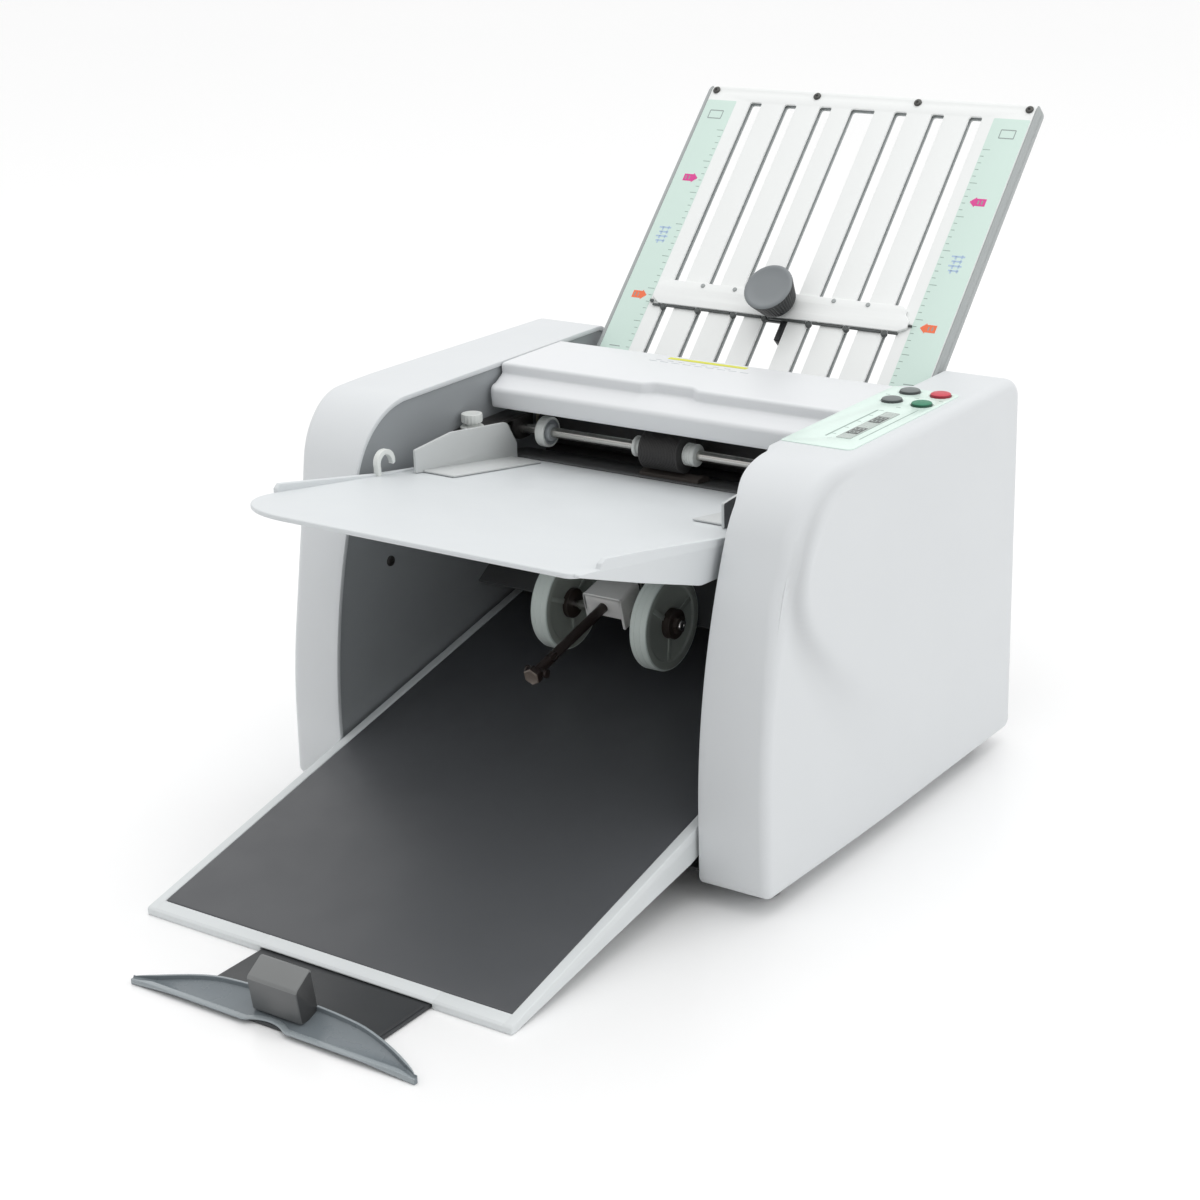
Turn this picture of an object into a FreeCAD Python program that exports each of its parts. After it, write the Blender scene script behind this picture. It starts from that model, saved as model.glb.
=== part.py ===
import FreeCAD, Part
import os, math, sys

# Desk-top paper folding machine, modelled in millimetres. +Z up, the operator stands on the -Y side.
# Working coordinates: x 0 on the centre line, y 0 at the front of the side covers, z 0 at the covers' lower edge
# (the desk is foot_height below it). Every sub-part is then placed so that the origin is under the middle of the machine.
V = FreeCAD.Vector
os.makedirs("parts", exist_ok=True)
doc = FreeCAD.newDocument("folding_machine")

# ---------------------------------------------------------------- driving dimensions
SHEET = [
 ("half_gap", 125.0, "inner face of a side cover from the centre line"),
 ("cover_width", 45.5, "thickness of the right cover"),
 ("left_width", 40.0, "thickness of the left cover, low at the front"),
 ("left_flare", 17.0, "how much further out the left cover reaches at its top"),
 ("body_depth", 290.0, "side cover, front to back"),
 ("body_height", 222.0, "side cover, lower edge to top"),
 ("wall", 3.0, "moulded cover wall"),
 ("frame_gap", 1.0, "side frame set back behind the cover edge"),
 ("frame_sheet", 3.0, "side frame sheet"),
 ("foot_height", 10.5, "rubber foot"),
 ("foot_radius", 9.0, "rubber foot"),
 ("shift_x", -5.75, "working x of the middle of the bounding box"),
 ("shift_y", 95.643, "working y of the middle of the bounding box"),
 ("corner_round", 8.0, "outer edge of a side cover"),
 ("panel_sheet", 1.2, "control strip"),
 ("button_radius", 6.1, "push button"),
 ("button_gap", 0.35, "button to its hole"),
 ("button_height", 13.0, "push button"),
 ("roller_radius", 15.0, "fold roller"),
 ("roller_pitch", 30.4, "distance between neighbouring fold rollers"),
 ("roller_half", 118.0, "half length of a fold roller"),
 ("shaft_radius", 4.0, "fold roller shaft"),
 ("bush_radius", 7.0, "fold roller bush"),
 ("shaft_fit", 0.05, "radial clearance of a shaft in its hole"),
 ("gear_face", 7.8, "gear width"),
 ("feed_shaft_radius", 3.2, "feed shaft"),
 ("feed_bush_radius", 5.5, "feed shaft bush"),
 ("feed_roller_radius", 12.0, "feed roller"),
 ("feed_roller_width", 27.7, "feed roller"),
 ("plate_half", 121.2, "half width of the upper fold plate"),
 ("plate_length", 259.0, "upper fold plate"),
 ("plate_tilt", 46.1, "upper fold plate from the horizontal"),
 ("plate_top_y", 412.8, "top edge of the upper fold plate"),
 ("plate_top_z", 360.5, "top edge of the upper fold plate"),
 ("plate_sheet", 1.5, "fold plate sheet"),
 ("plate_space", 2.0, "space for the paper between the sheets"),
 ("rail_height", 9.0, "side rail of the fold plate"),
 ("slot_width", 9.0, "slot in the fold plate"),
 ("slot_wide", 17.5, "middle slot in the fold plate"),
 ("stop_bar_sheet", 2.0, "upper stop bar"),
 ("knob_radius", 16.3, "clamp knob"),
 ("knob_height", 17.0, "clamp knob"),
 ("lower_tilt", -67.67, "lower fold plate from the horizontal"),
 ("lower_y", 233.5, "mouth of the lower fold plate"),
 ("lower_z", 129.5, "mouth of the lower fold plate"),
 ("lower_length", 118.0, "lower fold plate"),
 ("table_half", 118.0, "half width of the feed table"),
 ("table_sheet", 3.0, "feed table deck"),
 ("guide_sheet", 2.0, "side guide"),
 ("hood_width", 239.5, "hood"),
 ("wheel_radius", 28.5, "stacker wheel"),
 ("wheel_width", 11.3, "stacker wheel"),
 ("wheel_spacing", 70.1, "stacker wheels, centre to centre"),
 ("axle_radius", 3.0, "stacker axle"),
 ("arm_radius", 4.0, "stacker arm rod"),
 ("arm_tilt", 14.72, "stacker arm from the horizontal"),
 ("tray_half", 123.0, "half width of the delivery tray"),
 ("tray_rim", 6.0, "tray rim"),
 ("deck_sheet", 2.0, "tray deck"),
 ("extension_width", 112.5, "tray extension"),
 ("extension_sheet", 2.0, "tray extension"),
 ("stop_half", 93.0, "half width of the paper stop"),
 ("stop_sagitta", 22.0, "bulge of the paper stop"),
 ("stop_height", 12.0, "paper stop"),
 ("motor_radius", 27.0, "drive motor"),
 ("motor_length", 72.0, "drive motor"),
 ("belt_width", 7.6, "drive belt"),
 ("pin_radius", 2.5, "hood hinge pin"),
 ("screw_radius", 1.6, "cover screw"),
]
sh = doc.addObject("Spreadsheet::Sheet", "dims")
for i, (k, v, c) in enumerate(SHEET, 1):
    sh.set("A%d" % i, c)
    sh.set("B%d" % i, str(v))
    sh.setAlias("B%d" % i, k)
doc.recompute()
d = {k: v for k, v, c in SHEET}

# ---------------------------------------------------------------- helpers
base_of = {}
count = [0]

def nm(n):
    count[0] += 1
    return "%s_%d" % (n, count[0])

def put(o, prop, val):
    if isinstance(val, str):
        o.setExpression(prop, val)
    else:
        setattr(o, prop, val)

def ex(v):
    return "(%s)" % v if isinstance(v, str) else "(%.5f)" % v

def place(o, x, y, z, rot=None):
    rot = rot or FreeCAD.Rotation()
    o.Placement = FreeCAD.Placement(V(0, 0, 0), rot)
    base_of[o.Name] = (x, y, z)
    for a, c in zip("xyz", (x, y, z)):
        o.setExpression(".Placement.Base." + a, ex(c))
    return o

def box(x0, x1, y0, y1, z0, z1):
    o = doc.addObject("Part::Box", nm("box"))
    o.setExpression("Length", ex(x1) + "-" + ex(x0))
    o.setExpression("Width", ex(y1) + "-" + ex(y0))
    o.setExpression("Height", ex(z1) + "-" + ex(z0))
    return place(o, x0, y0, z0)

RX = FreeCAD.Rotation(V(0, 1, 0), 90)     # cylinder axis along +x
RY = FreeCAD.Rotation(V(1, 0, 0), -90)    # cylinder axis along +y

def rod(axis, a0, a1, p, q, r):
    """cylinder along x (p,q = y,z), y (p,q = x,z) or z (p,q = x,y)"""
    o = doc.addObject("Part::Cylinder", nm("rod"))
    put(o, "Radius", r)
    o.setExpression("Height", ex(a1) + "-" + ex(a0))
    if axis == "x":
        return place(o, a0, p, q, RX)
    if axis == "y":
        return place(o, p, a0, q, RY)
    return place(o, p, q, a0)

def cone(z0, z1, x, y, r0, r1):
    o = doc.addObject("Part::Cone", nm("cone"))
    put(o, "Radius1", r0)
    put(o, "Radius2", r1)
    o.setExpression("Height", ex(z1) + "-" + ex(z0))
    return place(o, x, y, z0)

def sketch(b, plane, off, path):
    pl = [f for f in b.Origin.OriginFeatures if f.Role == plane][0]
    s = b.newObject("Sketcher::SketchObject", nm("sketch"))
    s.AttachmentSupport = [(pl, "")]
    s.MapMode = "FlatFace"
    if isinstance(off, str):
        s.setExpression(".AttachmentOffset.Base.z", off)
    else:
        s.AttachmentOffset = FreeCAD.Placement(V(0, 0, off), FreeCAD.Rotation())
    loops = path if isinstance(path[0], list) else [path]
    for loop in loops:
        if loop[0] == "circle":
            s.addGeometry(Part.Circle(V(loop[1], loop[2], 0), V(0, 0, 1), loop[3]))
            continue
        first = loop[0]
        cur = first
        for p in loop[1:] + [first]:
            if p[0] == "arc":
                m, e = p[1], p[2]
                s.addGeometry(Part.Arc(V(cur[0], cur[1], 0), V(m[0], m[1], 0), V(e[0], e[1], 0)))
                cur = e
            else:
                if math.dist(cur, p) > 1e-6:
                    s.addGeometry(Part.LineSegment(V(cur[0], cur[1], 0), V(p[0], p[1], 0)))
                cur = p
    return s

def prism(plane, off, length, path):
    """a body padded from one sketch: YZ_Plane pads to +x, XY_Plane to +z, XZ_Plane to -y (off counts along that way)"""
    b = doc.addObject("PartDesign::Body", nm("body"))
    s = sketch(b, plane, off, path)
    p = b.newObject("PartDesign::Pad", nm("pad"))
    p.Profile = s
    put(p, "Length", length)
    b.Tip = p
    return b

def yz(x0, x1, path):
    return prism("YZ_Plane", x0 if not isinstance(x0, str) else x0, ex(x1) + "-" + ex(x0), path)

def fuse(*objs):
    o = doc.addObject("Part::MultiFuse", nm("fuse"))
    o.Shapes = list(objs)
    return o

def cut(a, *tools):
    o = doc.addObject("Part::Cut", nm("cut"))
    o.Base = a
    o.Tool = tools[0] if len(tools) == 1 else fuse(*tools)
    return o

def common(a, b):
    o = doc.addObject("Part::Common", nm("common"))
    o.Base, o.Tool = a, b
    return o

nodes = []
def node(name, o, by=0.0, bz=0.0, tilt=None, bx=0.0):
    """name a sub-part and place it; tilt is a sheet name, bx/by/bz the place of its own frame in working coordinates"""
    o.Label = name
    if tilt:
        o.Placement = FreeCAD.Placement(V(0, 0, 0), FreeCAD.Rotation(V(1, 0, 0), d[tilt]))
        x, y, z = bx, by, bz
    elif o.Name in base_of:
        x, y, z = base_of[o.Name]
    else:
        x, y, z = bx, 0.0, 0.0
    o.setExpression(".Placement.Base.x", ex(x) + "-dims.shift_x")
    o.setExpression(".Placement.Base.y", ex(y) + "-dims.shift_y")
    o.setExpression(".Placement.Base.z", ex(z) + "+dims.foot_height")
    nodes.append((name, o))
    return o

X0, X1 = "dims.half_gap", "dims.half_gap+dims.cover_width"        # cover, inner and outer
F0, F1 = "dims.half_gap+dims.frame_gap", "dims.half_gap+dims.frame_gap+dims.frame_sheet"
f0, f1 = d["half_gap"] + d["frame_gap"], d["half_gap"] + d["frame_gap"] + d["frame_sheet"]   # 126, 129
xo = d["half_gap"] + d["cover_width"]                              # 170.5
fit = d["shaft_fit"]

# fold roller, feed shaft and drive centres (y, z)
R2 = (214.0, 145.8)
R1 = (214.0, R2[1] + d["roller_pitch"])
R3 = (R2[0] + d["roller_pitch"], R2[1])
R4 = (214.0, R2[1] - d["roller_pitch"])
FS = (173.5, 181.0)
ID = (190.87, 168.70)
MO = (222.0, 38.0)
SCREWS = [(56.3, 125.5), (60.0, 30.0), (276.0, 150.0), (278.0, 75.0)]
PIN = (228.0, 204.0)
BTN = {"button_plus": (131.3, 223.6), "button_minus": (130.9, 202.2), "button_start": (150.2, 201.6), "button_stop": (150.6, 224.3)}

# ---------------------------------------------------------------- side covers
def outline(e):
    """side outline of a cover (y, z), set in by e: upright front, long front curve, rounded shoulder, flat top, round rear corner"""
    D, H = d["body_depth"], d["body_height"]
    ra, ca, t1 = 378.5, (378.5, 40.0), math.radians(23.35)
    rb = (H - 40.0 - ra * math.sin(t1)) / (1.0 - math.sin(t1))
    p1 = (ca[0] - ra * math.cos(t1), ca[1] + ra * math.sin(t1))
    cb = (p1[0] + rb * math.cos(t1), p1[1] - rb * math.sin(t1))
    def A(t):
        return (ca[0] - (ra - e) * math.cos(t), ca[1] + (ra - e) * math.sin(t))
    def B(t):
        return (cb[0] - (rb - e) * math.cos(t), cb[1] + (rb - e) * math.sin(t))
    r = 12.0 - e
    k = r * math.sqrt(0.5)
    cr = (D - 12.0, H - 12.0)
    return [(e, e), (e, 40.0), ("arc", A(t1 / 2), A(t1)), ("arc", B((t1 + math.pi / 2) / 2), B(math.pi / 2)), (cr[0], H - e),
            ("arc", (cr[0] + k, cr[1] + k), (D - e, cr[1])), (D - e, e)]
OUT, INN, FRM = outline(0.0), outline(d["wall"]), outline(d["wall"] + 0.4)

def round_outer(b, xout, radius):
    doc.recompute()
    pad = b.Tip
    names = []
    for i, e in enumerate(pad.Shape.Edges, 1):
        c = [v.Point for v in e.Vertexes]
        if all(abs(p.x - xout) < 1e-4 for p in c) and not all(p.z < 3.01 for p in c):
            names.append("Edge%d" % i)
    f = b.newObject("PartDesign::Fillet", nm("fillet"))
    f.Base = (pad, names)
    put(f, "Radius", radius)
    b.Tip = f
    doc.recompute()
    return b

LEAN = 98.0                                                        # the left cover's outer face is upright up to here
def lean(z):
    """how far the left cover's outer face stands out at height z"""
    run, rise = d["body_height"] - 4.5 - LEAN, d["left_flare"]
    R = (run * run + rise * rise) / (2.0 * rise)
    h = min(max(0.0, z - LEAN), run)
    return R - math.sqrt(R * R - h * h)

def flared(e, path, x1):
    """left cover: its outline drawn out to x1 and cut to the plan of its outer face, which is upright low down and leans out
    above the tray, most at the front of the flat top; e sets the face in, and the outer edges are broken by c"""
    H = d["body_height"]
    c = 4.5
    top = -xl - d["left_flare"] + e
    zc, zm = H - c, LEAN + (H - c - LEAN) * 0.5
    sec = [(-120.0, -1.0), (-xl + e, -1.0), (-xl + e, LEAN), ("arc", (-xl + e - lean(zm), zm), (top, zc)), (top + c, H), (top + c, H + 1.0), (-120.0, H + 1.0)]
    cross = prism("XZ_Plane", -300.0, 310.0, sec)
    plan_ = [(-120.0, -1.0), (-xl + e + 6.5, -1.0), (-xl + e, 5.5), (top, 45.5), (top, 120.0), (top + 6.0, 291.0), (-120.0, 291.0)]
    return common(common(yz(-200.0, x1, path), cross), prism("XY_Plane", -5.0, 240.0, plan_))

xl = d["half_gap"] + d["left_width"]                               # 165
for side, sgn in (("left", -1), ("right", 1)):
    if sgn > 0:
        outer = yz(X0, X1, OUT)
        hollow = yz("dims.half_gap-1", X1 + "-dims.wall", INN)
        round_outer(outer, xo, "dims.corner_round")
    else:
        outer = flared(0.0, OUT, "-dims.half_gap")
        hollow = flared(d["wall"], INN, "-dims.half_gap+1")
    shell = cut(outer, hollow)
    bosses = [rod("x", *((f1, xo - 2.0) if sgn > 0 else (-xl + 2.0 - lean(z), -f1)), y, z, 4.5) for y, z in SCREWS]
    parts = [shell] + bosses
    if sgn > 0:
        # shelf of the control strip, over the edge of the hood
        parts.append(yz(116.0, 126.0, [(60, 216.4), (70, 219.6), (80, 222), (236, 222), (236, 215), (84, 215), (66, 210)]))
    body = fuse(*parts)
    a, b = (f1 - 0.5, f1 + 12) if sgn > 0 else (-f1 - 12, -f1 + 0.5)
    tools = [rod("x", a, b, y, z, "dims.screw_radius") for y, z in SCREWS]
    if sgn > 0:
        tools += [rod("z", 205.0, 230.0, x, y, "dims.button_radius+dims.button_gap") for x, y in BTN.values()]
        tools.append(box(141.2, 147.5, 123.0, 176.0, 210.0, 230.0))
    node(side + "_cover", cut(body, *tools))

# ---------------------------------------------------------------- side frames and cross members
for side, sgn in (("left", -1), ("right", 1)):
    a, b = (F0, F1) if sgn > 0 else ("-dims.half_gap-dims.frame_gap-dims.frame_sheet", "-dims.half_gap-dims.frame_gap")
    plate = yz(a, b, FRM)
    pegs = [rod("x", 120.5, f1 - 1, 60.0, 171.5, 3.0) if sgn > 0 else rod("x", -f1 + 1, -120.5, 60.0, 171.5, 3.0)]
    if sgn > 0:
        pegs.append(rod("x", f1 - 1, 141.0, ID[0], ID[1], 3.0))
    lo, hi = (f0 - 6.5, f1 + 1) if sgn > 0 else (-f1 - 1, -f0 + 6.5)
    if sgn > 0:
        lo, hi = f0 - 0.5, f1 + 0.5
    else:
        lo, hi = -f1 - 0.5, -f0 + 0.5
    tools = [rod("x", lo, hi, y, z, "dims.bush_radius") for y, z in (R1, R2, R3, R4)]
    tools.append(rod("x", lo, hi, FS[0], FS[1], "dims.feed_bush_radius"))
    tools.append(rod("x", lo, hi, PIN[0], PIN[1], "dims.pin_radius+dims.shaft_fit"))
    tools += [rod("x", lo, hi, y, z, "dims.screw_radius") for y, z in SCREWS]
    if sgn > 0:
        tools.append(rod("x", lo, hi, MO[0], MO[1], 12.0))
        tools.append(box(120.0, 135.0, 180.0, 240.0, 209.0, 230.0))
    node(side + "_side_frame", fuse(cut(plate, *tools), *pegs))

pan = fuse(box("-dims.half_gap-dims.frame_gap", F0, 10.0, 287.0, 3.0, 4.5),
           box("-dims.half_gap-dims.frame_gap", F0, 285.5, 287.0, 3.0, 200.0))
node("base_pan", cut(pan, box(-48.0, 48.0, 280.0, 290.0, 18.0, 128.0), box(-112.0, -84.0, 280.0, 290.0, 120.0, 168.0)))
node("cross_bars", fuse(*[rod("x", "-dims.half_gap-dims.frame_gap", F0, y, z, 5.0) for y, z in
                          ((178.0, 58.8), (60.0, 14.0), (272.0, 178.0), (275.0, 110.0))]))
node("rubber_feet", fuse(*[rod("z", "-dims.foot_height", 0.0, s * 148.0, y, "dims.foot_radius") for s in (-1, 1) for y in (30.0, 262.0)]))
screws = []
for s in (-1, 1):
    for y, z in SCREWS:
        a, b = (f0 - 1.6, f0) if s > 0 else (-f0, -f0 + 1.6)
        c, e = (f0 - 1.0, f1 + 11) if s > 0 else (-f1 - 11, -f0 + 1.0)
        screws.append(fuse(rod("x", a, b, y, z, 3.2), rod("x", c, e, y, z, "dims.screw_radius")))
node("cover_screws", fuse(*screws))

# ---------------------------------------------------------------- control strip
strip = box(116.0, 160.0, 101.5, 232.0, "dims.body_height", "dims.body_height+dims.panel_sheet")
node("control_panel", cut(strip, box(140.0, 148.7, 120.5, 178.5, 220.0, 226.0),
     *[rod("z", 220.0, 226.0, x, y, "dims.button_radius+dims.button_gap") for x, y in BTN.values()]))
node("display_window", box(140.0, 148.7, 120.5, 178.5, "dims.body_height", "dims.body_height+1.5"))
for n, (x, y) in BTN.items():
    top = rod("z", 212.2, "212.2+dims.button_height", x, y, "dims.button_radius")
    node(n, top)
board = [box(131.5, 160.0, 105.0, 232.0, 203.0, 204.6), box(138.6, 149.9, 121.0, 180.0, 204.0, 209.0)]
board += [rod("z", 204.0, 219.0, x, y, 2.5) for x, y in ((134.0, 110.0), (157.0, 110.0), (141.3, 213.0), (141.3, 190.0))]
board += [box(x - 3.0, x + 3.0, y - 3.0, y + 3.0, 204.0, 210.0) for x, y in ((135.0, 223.6), (135.0, 202.2), (150.2, 201.6), (150.6, 224.3))]
node("control_board", fuse(*board))

# ---------------------------------------------------------------- mains inlet with rocker
inlet = fuse(box(-112.0, -84.0, 262.0, 288.0, 120.0, 168.0), box(-116.0, -80.0, 287.0, 289.5, 116.0, 172.0))
node("power_inlet", cut(inlet, box(-108.0, -88.0, 268.0, 292.0, 124.0, 140.0), box(-105.0, -91.0, 272.0, 292.0, 146.0, 166.0)))
def turned(pts, cy, cz, deg):
    c, s = math.cos(math.radians(deg)), math.sin(math.radians(deg))
    return [(cy + (y - cy) * c - (z - cz) * s, cz + (y - cy) * s + (z - cz) * c) for y, z in pts]
node("switch_rocker", yz(-104.6, -91.4, turned([(276, 152), (276, 160), (288, 163.5), (287, 156), (288, 148.5)], 280.0, 156.0, -7.0)))

# ---------------------------------------------------------------- gears
MODULE = d["roller_pitch"] / 20.0
def gear_path(cy, cz, teeth, phase):
    rp = MODULE * teeth / 2.0
    ra, rf = rp + 0.80 * MODULE, rp - 1.10 * MODULE
    p = 360.0 / teeth
    half = p / 4.0 - math.degrees(0.14 / rp)
    pts = []
    for i in range(teeth):
        c = phase + i * p
        for r, a in ((rf, -half * 1.55), (rp, -half), (ra, -half * 0.45), (ra, half * 0.45), (rp, half), (rf, half * 1.55)):
            t = math.radians(c + a)
            pts.append((cy + r * math.cos(t), cz + r * math.sin(t)))
    return pts

def mesh_phase(ca, ta, pa, cb, tb):
    """phase of gear b so that it meshes with gear a"""
    th = math.degrees(math.atan2(cb[1] - ca[1], cb[0] - ca[0]))
    a = (pa - th) / (360.0 / ta)
    return th + 180.0 + 360.0 / tb * (0.5 - a)

G0, G1 = 131.5, "131.5+dims.gear_face"
PH = {"2": 0.0, "1": 9.0, "3": 9.0, "4": 9.0}
def gear(c, teeth, phase, bore):
    g = yz(G0, G1, gear_path(c[0], c[1], teeth, phase))
    return cut(g, rod("x", G0 - 1, "132.5+dims.gear_face", c[0], c[1], bore))

node("fold_gear_1", gear(R1, 20, PH["1"], "dims.shaft_radius"))
node("fold_gear_3", gear(R3, 20, PH["3"], "dims.shaft_radius"))
node("fold_gear_4", gear(R4, 20, PH["4"], "dims.shaft_radius"))
phi = mesh_phase(R1, 20, PH["1"], ID, 12)
phf = mesh_phase(ID, 12, phi, FS, 16)
node("idler_gear", gear(ID, 12, phi, "3.0+dims.shaft_fit"))
node("feed_gear", gear(FS, 16, phf, "dims.feed_shaft_radius"))
g1 = G0 + d["gear_face"]
main = fuse(yz(G0, G1, gear_path(R2[0], R2[1], 20, 0.0)), rod("x", g1 - 0.5, 141.0, R2[0], R2[1], 9.0),
            rod("x", 140.3, 141.3, R2[0], R2[1], 24.0), rod("x", 141.0, 150.2, R2[0], R2[1], 21.5), rod("x", 149.9, 151.0, R2[0], R2[1], 24.0))
node("main_gear_pulley", cut(main, rod("x", 130.0, 152.0, R2[0], R2[1], "dims.shaft_radius")))

# ---------------------------------------------------------------- fold rollers and bushes
for k, c, end in (("1", R1, g1 + 0.5), ("2", R2, 151.0), ("3", R3, g1 + 0.5), ("4", R4, g1 + 0.5)):
    node("fold_roller_" + k, fuse(rod("x", "-dims.roller_half", "dims.roller_half", c[0], c[1], "dims.roller_radius"),
                                  rod("x", -130.5, end, c[0], c[1], "dims.shaft_radius")))
bushes = []
for s in (-1, 1):
    a, b = (f0 - 0.4, f1 + 0.8) if s > 0 else (-f1 - 0.8, -f0 + 0.4)
    for c, ro, ri in ((R1, "dims.bush_radius", "dims.shaft_radius"), (R2, "dims.bush_radius", "dims.shaft_radius"),
                      (R3, "dims.bush_radius", "dims.shaft_radius"), (R4, "dims.bush_radius", "dims.shaft_radius"),
                      (FS, "dims.feed_bush_radius", "dims.feed_shaft_radius")):
        bushes.append(cut(rod("x", a, b, c[0], c[1], ro), rod("x", a - 1, b + 1, c[0], c[1], ri + "+dims.shaft_fit")))
node("shaft_bearings", fuse(*bushes))

# ---------------------------------------------------------------- motor and belt
motor = fuse(rod("x", 50.0, "50+dims.motor_length+0.5", MO[0], MO[1], "dims.motor_radius"),
             box(122.0, F0, MO[0] - 26, MO[0] + 26, MO[1] - 26, MO[1] + 26), rod("x", f0 - 1, 128.5, MO[0], MO[1], 10.0))
node("drive_motor", cut(motor, rod("x", 107.0, 130.0, MO[0], MO[1], "dims.shaft_radius+dims.shaft_fit")))
node("motor_pulley", fuse(rod("x", 108.0, 151.0, MO[0], MO[1], "dims.shaft_radius"), rod("x", 140.3, 141.3, MO[0], MO[1], 11.0),
                          rod("x", 141.0, 150.2, MO[0], MO[1], 8.5), rod("x", 149.9, 151.0, MO[0], MO[1], 11.0)))

def loop_path(ca, ra, cb, rb):
    """closed belt line round two pulleys"""
    dy, dz = cb[0] - ca[0], cb[1] - ca[1]
    L = math.hypot(dy, dz)
    th = math.atan2(dz, dy)
    al = math.acos((ra - rb) / L)
    def P(c, r, t):
        return (c[0] + r * math.cos(t), c[1] + r * math.sin(t))
    return [P(ca, ra, th + al), ("arc", P(ca, ra, th + math.pi), P(ca, ra, th - al)), P(cb, rb, th - al),
            ("arc", P(cb, rb, th), P(cb, rb, th + al))]
belt = cut(prism("YZ_Plane", 141.7, "dims.belt_width", loop_path(MO, 8.5 + 2.1, R2, 21.5 + 2.1)),
           prism("YZ_Plane", 140.7, "dims.belt_width+2", loop_path(MO, 8.5 + 0.4, R2, 21.5 + 0.4)))
node("drive_belt", belt)

# ---------------------------------------------------------------- feed
W = f0
node("infeed_guide", yz(-W, W, [(166, 157), (196, 157), (198, 160.2), (181, 163.8), (167.5, 165.4), (166, 165)]))
node("separation_pad", yz(-21.0, 21.0, [(167.5, 165.4), (167.5, 167.6), (173.5, 168.6), (180, 167), (181, 163.8)]))
node("feed_shaft", rod("x", -130.5, g1 + 0.5, FS[0], FS[1], "dims.feed_shaft_radius"))
def ring(a, b, c, ro, ri):
    return cut(rod("x", a, b, c[0], c[1], ro), rod("x", (a - 1) if not isinstance(a, str) else a + "-1", (b + 1) if not isinstance(b, str) else b + "+1", c[0], c[1], ri))
node("feed_roller", ring(-18.0, "dims.feed_roller_width-18.0", FS, "dims.feed_roller_radius", "dims.feed_shaft_radius"))
node("feed_collars", fuse(ring(-96.0, -88.0, FS, 9.5, "dims.feed_shaft_radius"), ring(-26.5, -18.3, FS, 6.4, "dims.feed_shaft_radius"),
                          ring(9.9, 18.0, FS, 6.8, "dims.feed_shaft_radius")))
brk = fuse(box(-W, -111.0, 122.0, 186.0, 188.0, 190.0), box(-114.0, -111.0, 164.0, 184.0, 174.0, 189.0))
node("feed_bracket", cut(brk, rod("x", -116.0, -110.0, FS[0], FS[1], 3.65), rod("z", 186.0, 192.0, -118.0, 131.0, 2.05)))
node("guide_lock_screw", fuse(rod("z", 184.0, 191.0, -118.0, 131.0, 2.0), rod("z", 190.3, 191.8, -118.0, 131.0, 7.2),
                              rod("z", 191.3, 194.2, -118.0, 131.0, 3.5), rod("z", 193.8, 199.6, -118.0, 131.0, 6.6)))

deck_z = lambda y: 205.0 - 0.1545 * (y + 97.0)
deck = yz("-dims.table_half", "dims.table_half", [(-97, 203.6), (-95.5, 204.8), (165.5, deck_z(165.5)), (165.5, deck_z(165.5) - 3), (-90, deck_z(-90) - 3), (-97, 201.8)])
plan = prism("XY_Plane", 150.0, 70.0, [(-118, 166), (-118, -47), ("arc", (-103.36, -82.36), (-68, -97)), (112, -97), ("arc", (116.24, -95.24), (118, -91)), (118, 166)])
SK = [(-95, 203.2), (-94.2, 204.4), (-77, 201.9), (-75.7, 204.6), (-71.3, 206.1), (-40.8, 200.9), (38.6, 185.4), (120, 172.6), (120, 166), (60, 168.5), (31.8, 164.8), (13.6, 166), (-41.5, 184.2), (-76, 196.3)]
SL = [(-46, 199.0), (-43, 201.3), (-40.8, 200.9)] + SK[6:12] + [(-41.5, 184.2), (-46, 186.0)]
hook = [(38, 184), (38, 189), ("arc", (39.5, 196), (45.5, 198.5)), ("arc", (51.4, 196.3), (53.9, 188.9)), (51.6, 188.1), ("arc", (49.3, 193.7), (45.5, 195.6)), ("arc", (41.8, 193.5), (41, 188.5)), (41, 183)]
table = fuse(common(deck, plan), yz(117.5, 120.5, SK), yz(-120.5, -117.5, SL), yz(-119.0, -115.5, hook))
PEG = [rod("x", 119.0, 122.0, 60.0, 171.5, 3.05), rod("x", -122.0, -119.0, 60.0, 171.5, 3.05)]
node("feed_table", table)
GD = [(63.5, deck_z(63.5) + 0.3), (63.5, 194.6), (98.6, 197), (125.8, 193.4), (152.9, 190), (162.5, 174.6), (162.5, deck_z(162.5) + 0.3)]
GF = [(70, deck_z(70) + 0.3), (156, deck_z(156) + 0.3), (156, deck_z(156) + 1.5), (70, deck_z(70) + 1.5)]
node("feed_guide_left", fuse(yz(-110.0, "-110+dims.guide_sheet", GD), yz(-109.0, -85.0, GF)))
node("feed_guide_right", fuse(yz("104-dims.guide_sheet", 104.0, GD), yz(79.0, 103.0, GF)))

# ---------------------------------------------------------------- hood
HO = [(235, 222), (172.5, 221.2), (170.8, 220.4), (170, 213.6), (162, 213.2), ("arc", (158.6, 211.6), (157.2, 207.5)), (156.2, 196.9), (158.7, 196.9),
      (159.6, 207), (162, 210.8), (172.4, 211.2), (173.2, 218.4), (232.5, 219.3), (232.5, 205), (235, 205)]
CH = [(157.6, 199), (158.6, 207.5), (161, 211.8), (171, 212.4), (172, 219.5), (234, 220.5), (234, 198), (221, 198), (206, 208), (168, 205)]
hood = fuse(yz(-124.0, "dims.hood_width-124", HO), yz(-124.0, -121.5, CH), yz(113.0, 115.5, CH),
            rod("x", -f1, -122.0, PIN[0], PIN[1], "dims.pin_radius"), rod("x", 114.0, f1, PIN[0], PIN[1], "dims.pin_radius"))
node("top_hood", hood)

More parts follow.
